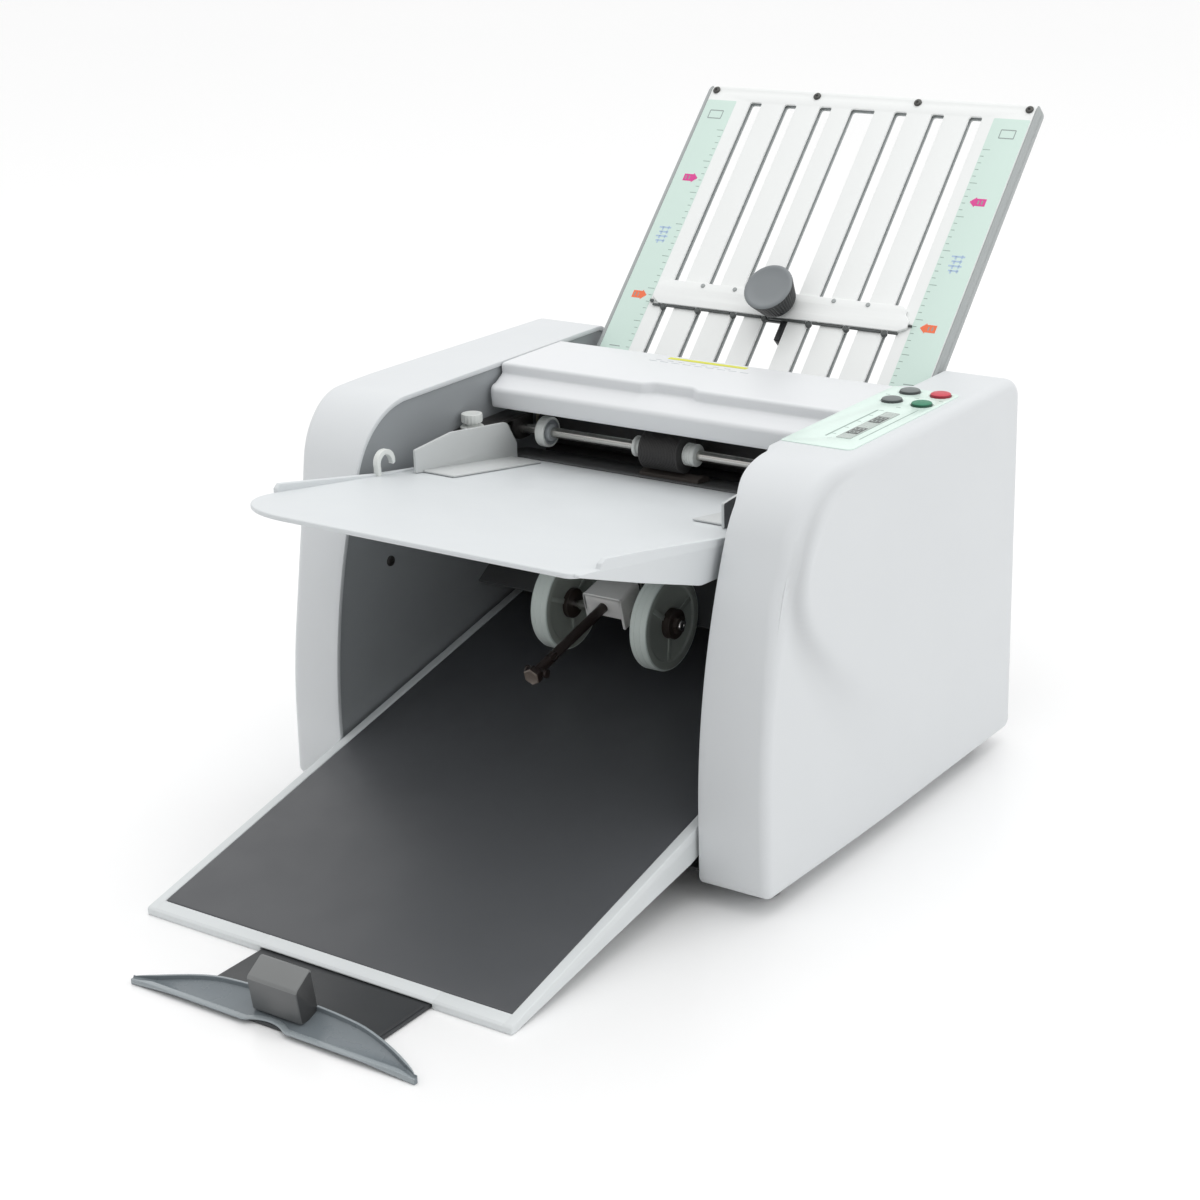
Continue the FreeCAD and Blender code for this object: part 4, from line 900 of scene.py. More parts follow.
def feed_table():
    plan = flat([(-68, -97), (112, -97), ("arc", (116.24, -95.24), (118, -91)), (118, 165.5), (-118, 165.5), (-118, -47), ("arc", (-103.36, -82.36), (-68, -97))], 16)[:-1]
    plan = densify(plan, 6.0)

    def thick(y):
        return 3.0

    rings = []
    for e, up in ((4.2, 0.0), (2.0, 0.0), (1.2, 0.0), (0.45, -0.2), (0.08, -0.6), (0.0, -1.0)):
        rings.append([(x, y, deck_z(y) + up) for x, y in offset_loop(plan, e)])
    for e, k in ((0.0, 0.75), (0.35, 0.92), (1.1, 1.0), (4.0, 1.0)):
        rings.append([(x, y, deck_z(y) - thick(y) * k) for x, y in offset_loop(plan, e)])
    deck = loft("deck", rings, TABLE, angle=40.0)
    SK = [(-95, 203.0), (-94.2, 204.3), (-77, 201.8), (-75.7, 204.6), (-71.3, 206.1), (-40.8, 200.9), (38.6, 185.4), (120, 172.6), (120, 166), (60, 168.5), (31.8, 164.8), (13.6, 166), (-41.5, 184.2), (-76, 196.3)]
    SL = [(-46, 199.0), (-43, 201.3), (-40.8, 200.9)] + SK[6:12] + [(-41.5, 184.2), (-46, 186.0)]
    SKR = rounded(SK, [0.5, 0.8, 1.0, 1.2, 3, 10, 10, 3, 2, 30, 12, 20, 8, 10], 5)
    SLR = rounded(SL, [1.0, 1.5, 4, 10, 3, 2, 30, 12, 20, 1.0, 1.0], 5)
    hook = rounded(flat([(38, 184), (38, 189), ("arc", (39.5, 196), (45.5, 198.5)), ("arc", (51.4, 196.3), (53.9, 188.9)), (51.6, 188.1), ("arc", (49.3, 193.7), (45.5, 195.6)), ("arc", (41.8, 193.5), (41, 188.5)), (41, 183)], 7), 0.4, 2)
    parts = [deck, xprism("sk_r", SKR, 117.3, 120.4, TABLE, 0.9, 3), xprism("sk_l", SLR, -120.4, -117.3, TABLE, 0.9, 3),
             xprism("hk_l", hook, -119.0, -115.4, COLLAR, 0.7, 3, angle=50.0)]
    return join("feed_table_moulding", parts)


give(feed_table(), "frame", "table_plastic", "feed_table")


def slope_bar(name, x0, x1, y0, y1, up0, up1, mat, w=0.3):
    """A bar lying on the feed table between two heights over it."""
    return xprism(name, [(y0, deck_z(y0) + up0), (y1, deck_z(y1) + up0), (y1, deck_z(y1) + up1), (y0, deck_z(y0) + up1)], x0, x1, mat, w)


for sgn, nm in ((-1, "left"), (1, "right")):
    GD = rounded([(63.5, deck_z(63.5) + 0.35), (63.5, 194.6), (98.6, 197), (125.8, 193.4), (152.9, 190), (162.4, 174.6), (162.4, deck_z(162.4) + 0.35)], [0.5, 1.2, 14, 12, 6, 2, 0.5], 5)
    a, b = (-110.0, -108.0) if sgn < 0 else (102.0, 104.0)
    wall = xprism("wall", GD, a, b, SIDEGUIDE, 0.5, 2)
    # painted shade: the right guide's outer face takes the dark guide paint, standing for the shadow of the cover on it
    if sgn > 0:
        wall.data.materials.append(GUIDE_PAINT_AND_SHADE)
        for f in wall.data.polygons:
            if f.center.x > min(v.co.x for v in wall.data.vertices) + 0.0019:
                f.material_index = 1
    c, e = (-109.0, -85.2) if sgn < 0 else (79.2, 103.0)
    foot = xprism("foot", [(70, deck_z(70) + 0.35), (156, deck_z(156) + 0.35), (156, deck_z(156) + 1.5), (70, deck_z(70) + 1.5)], c, e, SIDEGUIDE, 0.4, 2)
    give(join("guide_%s_sheet" % nm, [wall, foot]), "guide_" + nm, "plate_paint", "feed_guide_" + nm)

FS = tilted(173.5, 181.0, 0)
give(lathe("feed_shaft_bar", [(2.7, -130.5), (3.2, -129.9), (3.2, 139.2), (2.7, 139.8)], STEEL, FS, axis="x", n=40), "feed_drive", "shaft_steel", "feed_shaft")
rp = [(3.25, -18.0), (11.3, -18.0), (11.8, -17.7), (12.0, -17.2)]
for k in range(23):
    h = -16.6 + 1.09 * k
    rp += [(12.0, h), (12.0, h + 0.55), (11.72, h + 0.7), (11.72, h + 0.95)]
rp += [(12.0, 9.1), (11.8, 9.4), (11.3, 9.7), (3.25, 9.7)]
give(lathe("feed_roller_sleeve", rp, RUBBER, FS, axis="x", n=72, angle=50), "feed_drive", "roller_rubber", "feed_roller")
# the recess and hub of this collar take the painted shade copy
c1 = lathe("c1", [(3.25, -96), (8.8, -96), (9.3, -95.6), (9.5, -95.0), (9.5, -90.3), (9.3, -89.7), (8.8, -89.4), (7.9, -89.5), (7.6, -91.2), (5.6, -91.2), (5.4, -88.5), (5.0, -88.1), (3.25, -88.1)], [COLLAR, COLLAR_RECESS_SHADE], FS, axis="x", n=64,
           fmat=lambda k, i: 1 if k >= 7 else 0)
c2 = lathe("c2", [(3.25, -26.4), (5.9, -26.4), (6.25, -26.1), (6.4, -25.6), (6.4, -24.2), (6.1, -23.8), (5.2, -23.4), (5.0, -22.8), (5.0, -18.7), (4.7, -18.35), (3.25, -18.35)], COLLAR, FS, axis="x", n=48)
c3p = [(3.25, 9.9), (6.3, 9.9), (6.8, 10.3), (6.8, 11.2)]
for h in (11.5, 13.4, 15.3):
    c3p += [(6.3, h), (6.3, h + 0.5), (6.75, h + 0.75), (6.75, h + 1.5)]
c3p += [(6.8, 17.2), (6.5, 17.8), (6.0, 18.0), (3.25, 18.0)]
c3 = lathe("c3", c3p, COLLAR, FS, axis="x", n=56)
give(join("feed_collar_set", [c1, c2, c3]), "feed_drive", "collar_plastic", "feed_collars")

br = [sheet2d("brk", rounded([(-126, 122.2), (-111, 122.2), (-111, 186), (-126, 186)], [0.5, 5, 3, 0.5]), [circle(-118.0, 131.0, 2.1, 32)], 188.0, 190.0, BLACK, w=0.4),
      xprism("lug", rounded([(164, 188.2), (164, 180), (169, 174.2), (180, 174.2), (184, 178), (184, 188.2)], [0.3, 3, 3, 3, 3, 0.3], 4), -114.0, -111.0, BLACK, 0.5)]
give(join("feed_bracket_arm", br), "frame", "black_plastic", "feed_bracket")
sp = [(1.6, 184.0), (2.0, 184.5), (2.0, 190.3), (6.8, 190.3), (7.2, 190.6), (7.2, 191.4), (6.8, 191.8), (4.0, 192.0), (3.5, 192.5), (3.5, 193.4), (4.2, 193.8), (6.0, 194.0), (6.6, 194.6), (6.6, 198.8), (6.3, 199.4), (5.6, 199.6), (4.2, 199.4), (3.8, 199.2), (0.05, 199.2)]
give(lathe("lock_screw_head", sp, COLLAR, Matrix.Translation((-118.0, 131.0, 0.0)), n=72, ribs=(18, 0.5, 194.5, 198.9)), "lock_screw", "collar_plastic", "guide_lock_screw")


# ---------------------------------------------------------------- upper fold plate
SLOTS = [(0.0, 8.75)] + [(s * c, 4.5) for c in (27.5, 54.0, 80.5) for s in (-1, 1)]
SLOTP = [rounded_rect(c - h, c + h, -250.0, -11.0, 1.6, 4) for c, h in SLOTS]
PS = [(-114.6, -3.5), (-36.9, -3.5), (36.9, -3.5), (114.6, -3.5)]
front = sheet2d("fold_sheet_front", rounded([(-118.5, -259.0), (118.5, -259.0), (118.5, 0.0), (-118.5, 0.0)], [1, 1, 3, 3]),
                SLOTP + [circle(x, y, 1.4, 24) for x, y in PS], -1.5, 0.0, PLATE, w=0.25, T=UPPER)
give(front, "frame", "plate_paint", "upper_plate_front")
back = [sheet2d("fold_back", rounded([(-121.2, -270.0), (121.2, -270.0), (121.2, 0.0), (-121.2, 0.0)], [1, 1, 3.5, 3.5]),
                SLOTP + [circle(x, y, 1.4, 24) for x, y in PS], -5.0, -3.5, SHEET, w=0.25, T=UPPER)]


def rail(x0, x1):
    """Side rail of the fold plate: a folded edge with a groove along its outer side."""
    out, inn = (x1, x0) if x0 > 0 else (x0, x1)
    s = 1 if x0 > 0 else -1
    sec = [(inn, -8.6), (inn + 0.4 * s, -9.0), (out - 0.5 * s, -9.0), (out, -8.5), (out, -5.3), (out - 0.45 * s, -5.0), (out - 0.45 * s, -4.2), (out, -3.9), (out, -0.6), (out - 0.15 * s, -0.2), (out - 0.5 * s, 0.0), (inn + 0.25 * s, 0.0), (inn, -0.25)]
    rings = []
    for y, k in ((-262.0, 0.0), (-240.0, 0.0), (-3.2, 0.0), (-1.6, 0.35), (-0.6, 0.75), (0.0, 1.3)):
        rings.append([(x - s * (k if abs(x - out) < 1.0 else 0.0), y, z + (k * 0.3 if z < -5 else -k * 0.2)) for x, z in sec])
    return loft("rail", rings, SHEET, UPPER, angle=28.0)


back += [rail(118.7, 121.2), rail(-121.2, -118.7)]
back += [blocks("spacers", [(c - 2.0, c + 2.0, -9.0, -1.2, -3.6, -1.4) for c in (-40.75, -67.25, 40.75, 67.25, -17.3, 17.3)]
                + [(116.3, 119.0, -259.0, -1.0, -3.6, -1.4), (-119.0, -116.3, -259.0, -1.0, -3.6, -1.4)]
                + [(121.0, 126.0, -240.0, -215.0, -9.0, 0.0), (-126.0, -121.0, -240.0, -215.0, -9.0, 0.0)], SHEET, UPPER, w=0.3, seg=2)]
give(join("fold_sheet_back", back), "frame", "plate_paint", "upper_plate_back")
scr = []
for i, (x, y) in enumerate(PS):
    T = UPPER @ Matrix.Translation((x, y, 0.0)) @ Matrix.Rotation(0.5 + 1.1 * i, 4, "Z")
    scr.append(lathe("scr", [(1.3, -5.0), (1.3, 0.1), (2.6, 0.1), (2.6, 0.6), (2.3, 0.95), (1.7, 1.15), (0.9, 1.2), (0.85, 0.7), (0.05, 0.6)], SCREW, T, n=32))
    scr.append(blocks("slot", [(-2.0, 2.0, -0.35, 0.35, 0.9, 1.16)], BLACK, T, w=0.05))
give(join("plate_screw_set", scr), "frame", "screw_steel", "plate_screws")

# printed strips with their marks, no text
LX0, LX1, RX0, RX1 = -118.2, -95.7, 93.2, 118.0
st = [sheet2d("st", rounded([(LX0, -258.5), (LX1, -258.5), (LX1, -11.2), (LX0, -11.2)], 0.8), [], -0.05, 0.16, MINT, w=0.05, T=UPPER),
      sheet2d("st", rounded([(RX0, -258.5), (RX1, -258.5), (RX1, -11.2), (RX0, -11.2)], 0.8), [], -0.05, 0.16, MINT, w=0.05, T=UPPER)]
give(join("fold_scale_strips", st), "frame", "strip_plastic")
H0, H1 = 0.12, 0.24
ticks, outl, mag, ora, blu = [], [], [], [], []
for k in range(43):
    s = -35.0 - 5.0 * k
    if s < -250:
        break
    long_ = 5.0 if k % 5 == 0 else 2.4
    ticks.append((LX1 - long_ - 0.6, LX1 - 0.6, s - 0.22, s + 0.22, H0, H1))
    ticks.append((RX0 + 0.6, RX0 + long_ + 0.6, s - 0.22, s + 0.22, H0, H1))
for side, c in ((-1, -107.5), (1, 106.2)):
    for s0, s1 in ((-19.6, -25.8),):
        outl += [(c - 5.0, c + 5.0, s0 - 0.35, s0 + 0.35, H0, H1), (c - 5.0, c + 5.0, s1 - 0.35, s1 + 0.35, H0, H1),
                 (c - 5.3, c - 4.7, s1, s0, H0, H1), (c + 4.7, c + 5.3, s1, s0, H0, H1)]
    for s, bag in ((-73.7, mag), (-165.5, ora)):
        bag.append((c - 3.4, c + 3.4, s - 2.7, s + 2.7, H0, H1))
        # the arrow head points to the slots
        for j in range(5):
            a = c - side * (3.4 + 0.75 * j)
            h = 3.4 - 0.68 * j
            bag.append((min(a, a - side * 0.75), max(a, a - side * 0.75), s - h, s + h, H0, H1))
        for j in (0, 1):
            outl.append((c - 2.0 + 2.6 * j, c - 1.2 + 2.6 * j, s - 1.4, s + 1.4, H1 - 0.02, H1 + 0.04))
    for j in range(4):
        s = -113.5 - 3.4 * j
        blu.append((c - 5.0 + 1.1 * (j % 2), c + 4.0 - 0.9 * (j % 2), s - 0.55, s + 0.55, H0, H1))
        blu.append((c - 2.6, c - 1.4, s - 2.0, s + 0.6, H0, H1))
        blu.append((c + 1.6, c + 2.6, s - 1.4, s + 1.2, H0, H1))
    for j in range(3):
        s = -205.0 - 4.2 * j
        outl.append((c - 4.0, c + 4.0 - j, s - 0.3, s + 0.3, H0, H1))
for nm, bag, mt in (("ticks", ticks, TICK), ("frames", outl, OUTLINE), ("arrows_a", mag, MAGENTA), ("arrows_b", ora, ORANGE), ("bars", blu, BLUE)):
    give(blocks("fold_scale_" + nm, bag, mt, UPPER, w=0.03), "frame", "strip_plastic")

# sliding stop with its clamp
bar_out = [(-88, -171), (85.5, -171), (91.2, -168.2), (91.2, -163.0), (87.0, -158.5), (87.0, -155.5), (83.5, -153), (-86, -153), (-94.2, -157.5), (-94.2, -166.5)]
bar = sheet2d("bar", rounded(bar_out, [3, 3, 2, 2, 1.5, 1.5, 2, 3, 4, 4], 5), [circle(0.0, -162.0, 3.1, 36)], 0.3, 2.3, PLATE, w=0.5, T=UPPER, res=3)
bumps = [bar]
for x in (-60.0, 60.0, 36.0, -36.0):
    bumps.append(lathe("bump", [(1.5, 2.2), (1.5, 2.7), (1.1, 3.0), (0.05, 3.05)], SHEET, UPPER @ Matrix.Translation((x, -155.2, 0.0)), n=24))
fing = []
for c, w in ((-80.5, 3.5), (-54.0, 3.5), (-27.5, 3.5), (27.5, 3.5), (54.0, 3.5), (80.5, 3.5)):
    fing.append((c - w, c + w, -166.0, -162.0, -5.8, 1.0))
fing += [(-7.5, -4.0, -166.0, -162.0, -5.0, 1.0), (4.0, 7.5, -166.0, -162.0, -5.0, 1.0)]
bumps.append(blocks("fing", fing, SHEET, UPPER, w=0.3, seg=2))
# dark lips, tabs and end lips under the bar's lower edge: painted shade of the gap there
lips, last = [], -92.0
edges = [c for c in (-80.5, -54.0, -27.5, 0.0, 27.5, 54.0, 80.5)]
for c in edges:
    h = 8.75 if c == 0.0 else 4.5
    if c - h - 2.4 > last:
        lips.append((last, c - h - 1.6, -172.6, -171.2, 0.25, 1.5))
    last = c - h + 3.6
lips.append((last, 86.0, -172.6, -171.2, 0.25, 1.5))
bumps.append(blocks("lips", lips, LIP_SHADE, UPPER, w=0.2, seg=2))
for c in edges:
    h = 8.75 if c == 0.0 else 4.5
    bumps.append(lathe("tab", [(1.9, -0.6), (1.9, 1.5), (1.5, 1.9), (0.05, 1.95)], LIP_SHADE, UPPER @ Matrix.Translation((c - h + 1.2, -173.0, 0.0)), n=24))
bumps.append(blocks("endlip", [(-94.8, -92.6, -170.4, -168.6, 0.4, 2.0), (88.6, 93.6, -166.2, -164.9, 0.3, 1.6)], LIP_SHADE, UPPER, w=0.25, seg=2))
give(join("stop_bar_sheet", bumps), "upper_stop", "plate_paint", "upper_stop_bar")
foot = [blocks("cf", [(-13.0, 13.0, -170.0, -154.0, -8.8, -5.3)], KNOB, UPPER, w=0.8, seg=3),
        blocks("cfp", [(3.5, 7.5, -186.0, -166.8, -8.8, -0.6)], KNOB, UPPER, w=0.7, seg=3)]
give(join("clamp_foot_block", foot), "upper_stop", "knob_plastic", "clamp_foot")
KT = UPPER @ Matrix.Translation((0.0, -162.0, 0.0))
kp = [(3.0, -8.6), (3.0, 2.6), (8.6, 2.6), (9.0, 3.0), (9.0, 5.6), (11.0, 6.1), (12.2, 6.4), (12.6, 7.0)]
for k in range(1, 9):
    kp.append((12.6 + 3.6 * k / 8.0, 7.0 + 14.0 * k / 8.0))
kp += [(16.3, 21.6), (16.2, 22.2), (15.7, 22.7), (14.9, 23.0), (13.4, 22.85), (12.3, 22.5), (8.0, 22.3), (4.0, 22.2), (0.05, 22.2)]
# the knob's top face takes the painted highlight grey
knob = lathe("clamp_knob", kp, [KNOB, KNOB_LIT_TOP], KT, n=240, fmat=lambda k, i: 1 if k >= 17 else 0, ribs=(48, 0.6, 8.0, 21.7), angle=45.0)
give(knob, "upper_knob", "knob_plastic", "stop_knob")


# ---------------------------------------------------------------- stacker
hang = [xprism("beam", rounded([(123, 145), (133, 145), (133, 155), (123, 155)], 1.2, 4), -126.0, 126.0, GUIDE_PAINT_AND_SHADE, 0.4)]
fork = rounded([(121.5, 150), (121.5, 110), (125.5, 104.3), (131.5, 104.3), (134.5, 109), (134.5, 150)], [1, 6, 4, 4, 5, 1], 5)
hang += [xprism("fork", fork, AX + 6.0, AX + 9.0, GUIDE_PAINT_AND_SHADE, 0.5), xprism("fork", fork, AX - 9.0, AX - 6.0, GUIDE_PAINT_AND_SHADE, 0.5)]
hang.append(lathe("pin", [(2.0, -9.6), (2.4, -9.3), (2.45, -8.0), (2.45, 8.0), (2.4, 9.3), (2.0, 9.6)], STEEL, Matrix.Translation((AX, 0, 0)) @ tilted(128.0, 111.74, 0), axis="x", n=32))
give(join("stacker_hanger", hang), "frame", "guide_paint", "stacker_cross_bar")
AR = 3.0
EY = 23.78
arm = [lathe("rod", [(AR - 0.4, -79.0), (AR, -78.4), (AR, EY - 3.0)], RODM, ARM, axis="y", n=40),
       lathe("cap", [(0.05, -80.0), (3.6, -80.1), (4.6, -80.5), (5.4, -80.0), (5.6, -79.2), (5.6, -76.4), (5.2, -75.6), (3.1, -75.0)], [RODM, CAPFACE], ARM, axis="y", n=6, angle=25, fmat=lambda k, i: 1 if k < 3 else 0),
       lathe("eye", [(2.55, -5.6), (6.0, -5.7), (6.5, -5.3), (6.5, 5.3), (6.0, 5.7), (2.55, 5.6)], RODM, ARM @ Matrix.Translation((0, EY, 0)), axis="x", n=48)]
arm.append(lathe("xpin", [(1.9, -7.6), (2.6, -7.2), (2.7, -6.2), (2.2, -5.4), (2.2, 5.4), (2.7, 6.2), (2.6, 7.2), (1.9, 7.6)], RODM, ARM @ Matrix.Translation((0, -74.0, 0)), axis="x", n=32))
arm.append(lathe("xend", [(0.05, -7.95), (1.5, -7.9), (1.9, -7.6)], BRIGHT, ARM @ Matrix.Translation((0, -74.0, 0)), axis="x", n=32))
give(join("stacker_arm_rod", arm), "stacker_arm", "black_plastic", "stacker_rod")
U = [(-13.5, -13.0), (-13.5, 8.0), (13.5, 8.0), (13.5, -13.0), (11.5, -13.0), (11.5, 6.0), (-11.5, 6.0), (-11.5, -13.0)]
U = rounded(U, [0.6, 2.6, 2.6, 0.6, 0.6, 0.9, 0.9, 0.6], 4)
XZ = Matrix(((1, 0, 0, 0), (0, 0, -1, 0), (0, 1, 0, 0), (0, 0, 0, 1)))     # (x, y, z) -> (x, -z, y)
car = [sheet2d("u", U, [], -15.0, 5.0, BRACKET, w=0.3, T=ARM @ XZ)]
hole = circle(0.0, 0.0, AR + 0.06, 32)
face = rounded([(-13.2, -6.0), (13.2, -6.0), (13.2, 7.4), (-13.2, 7.4)], [2.5, 2.5, 0.6, 0.6], 4)
car += [sheet2d("w1", face, [hole], 3.0, 5.0, BRACKET, w=0.3, T=ARM @ XZ), sheet2d("w2", face, [hole], -15.0, -13.0, BRACKET, w=0.3, T=ARM @ XZ)]
give(join("wheel_bracket", car), "carrier", "bright_sheet", "wheel_carrier")
ta = math.radians(14.72)
WY, WZ = 105.0 + 3.6 * math.cos(ta) + 7.9 * math.sin(ta), 105.7 + 3.6 * math.sin(ta) - 7.9 * math.cos(ta)
WT = Matrix.Translation((WX, 0, 0)) @ tilted(WY, WZ, 0)
give(lathe("stacker_axle_pin", [(2.4, -47.5), (3.0, -46.9), (3.0, 46.9), (2.4, 47.5)], STEEL, WT, axis="x", n=40), "wheels", "shaft_steel", "stacker_axle")


def wheel(c, s):
    """Rim, recessed faces, hub; s is the outer side."""
    w = 5.65
    R = 28.5
    prof = [(3.02, -7.0), (8.6, -7.0), (9.0, -6.6), (9.0, -w + 1.6), (9.6, -w + 1.3), (21.5, -w + 1.3), (22.6, -w + 0.9), (23.2, -w + 0.15), (24.0, -w), (27.3, -w), (28.1, -w + 0.25), (R, -w + 1.1)]
    prof += [(R, -2.4), (R - 0.16, -2.2), (R - 0.16, -1.7), (R, -1.5), (R, 1.5), (R - 0.16, 1.7), (R - 0.16, 2.2), (R, 2.4)]
    prof += [(R, w - 1.1), (28.1, w - 0.25), (27.3, w), (24.0, w), (23.2, w - 0.15), (22.6, w - 0.9), (21.5, w - 1.3), (9.6, w - 1.3), (9.0, w - 1.6), (9.0, 8.6), (8.6, 9.0), (3.02, 9.0)]
    T = WT @ Matrix.Translation((c, 0, 0)) @ (ONE if s > 0 else Matrix.Rotation(math.pi, 4, "Z"))

    def pick(k, i):
        r = (prof[k][0] + prof[k + 1][0]) / 2
        if r < 9.3:
            return 2
        return 1 if r < 26.9 else 0
    o = lathe("wheel", prof, [RIMM, FACEM, HUBM], T, axis="x", n=96, fmat=pick, angle=28.0)
    nut = lathe("nut", [(3.05, 8.9), (5.4, 8.9), (5.6, 9.2), (5.4, 11.6), (3.4, 12.0), (3.05, 11.8)], HUBM, T, axis="x", n=6, angle=20)
    parts = [o, nut]
    # three shallow spokes on each face
    for k in range(3):
        Rk = T @ Matrix.Rotation(2 * math.pi * k / 3 + 0.4, 4, "X")
        parts.append(blocks("spoke", [(w - 1.7, w - 0.75, 8.8, 23.0, -1.6, 1.6), (-w + 0.75, -w + 1.7, 8.8, 23.0, -1.6, 1.6)], FACEM, Rk, w=0.3, seg=2))
    cap = lathe("cap", [(3.1, 11.6), (3.2, 12.2), (2.9, 12.7), (1.4, 12.9), (1.2, 12.6), (0.05, 12.55)], BRIGHT, T, axis="x", n=32)
    return parts + [cap]


give(join("stacker_wheel_pair", wheel(35.05, 1) + wheel(-35.05, -1)), "wheels", "wheel_plastic", "stacker_wheels")


# ---------------------------------------------------------------- delivery tray
def TZ(y):
    return 32.6 + 0.2305 * y


RAIL = [(-167, -10.5), (-167, -6.9), (-165.6, -5.75), (185, TZ(185)), (185, 66), (-4, 13.6), (-91, 0.7), (-158, -9.6), (-161.5, -10.5)]
RAILR = rounded(RAIL, [0.7, 1.2, 2.0, 1.0, 2.0, 20, 20, 8, 3], 4)
tray = [xprism("rail_r", RAILR, 117.0, 123.0, TRAY, 1.0, 3), xprism("rail_l", RAILR, -123.0, -117.0, TRAY, 1.0, 3)]
tray.append(xprism("floor", [(-159, TZ(-159) - 2.35), (184.5, TZ(184.5) - 2.35), (184.5, TZ(184.5) - 4.8), (-152, TZ(-152) - 4.8)], -118.0, 118.0, TRAY, 0.3))
TIP = [(-167, -10.5), (-167, -6.9), (-165.6, -5.75), (-158.5, TZ(-158.5)), (-158.5, TZ(-158.5) - 2.3), (-150, TZ(-150) - 2.3), (-147, -8.4), (-150, -10.5)]
tipn = [(-167, -7.7), (-167, -6.9), (-165.6, -5.75), (-158.5, TZ(-158.5)), (-158.5, TZ(-158.5) - 2.3), (-150, TZ(-150) - 2.3), (-150.5, -7.7)]
tray += [xprism("tip", rounded(TIP, 0.6, 3), -117.6, -41.0, TRAY, 0.35), xprism("tip", rounded(TIP, 0.6, 3), 73.5, 117.6, TRAY, 0.35), xprism("tip", rounded(tipn, 0.5, 3), -41.2, 73.7, TRAY, 0.3)]
give(join("tray_moulding", tray), "frame", "tray_plastic", "tray_body")
TD = math.degrees(math.atan(0.2305))
DT = Matrix.Translation((0, -158.2, TZ(-158.2) - 0.3)) @ Matrix.Rotation(math.radians(TD), 4, "X")
LD = (185 + 158.2) / math.cos(math.radians(TD))
deck = [sheet2d("dk", rounded([(-116.9, 0), (116.9, 0), (116.9, LD), (-116.9, LD)], [1.5, 1.5, 1, 1]), [], -2.0, 0.0, DECK, w=0.3, T=DT)]
give(join("tray_deck_sheet", deck), "frame", "deck_paint", "tray_deck")
ext = [sheet2d("ex", rounded([(-40, -224), (72.5, -224), (72.5, -75), (-40, -75)], [3, 3, 1, 1]), [], -10.3, -8.3, EXTEN, w=0.4)]
ext.append(blocks("exr", [(-39.0, -37.2, -221.0, -82.0, -8.5, -7.9 + 0.2), (69.7, 71.5, -221.0, -170.5, -8.5, -7.7)][1:], EXTEN, w=0.2))
give(join("tray_extension_sheet", ext), "extension", "deck_paint", "tray_extension")


# ---------------------------------------------------------------- paper stop
CX, HALF, SAG, YF = 18.5, 93.0, 22.0, -228.0


def arc_y(x, r=0.0):
    """Rear edge of the crescent, set in by r."""
    u = min(1.0, abs(x - CX) / HALF)
    return YF + SAG * (1.0 - u ** 2.2) ** 0.68 - r


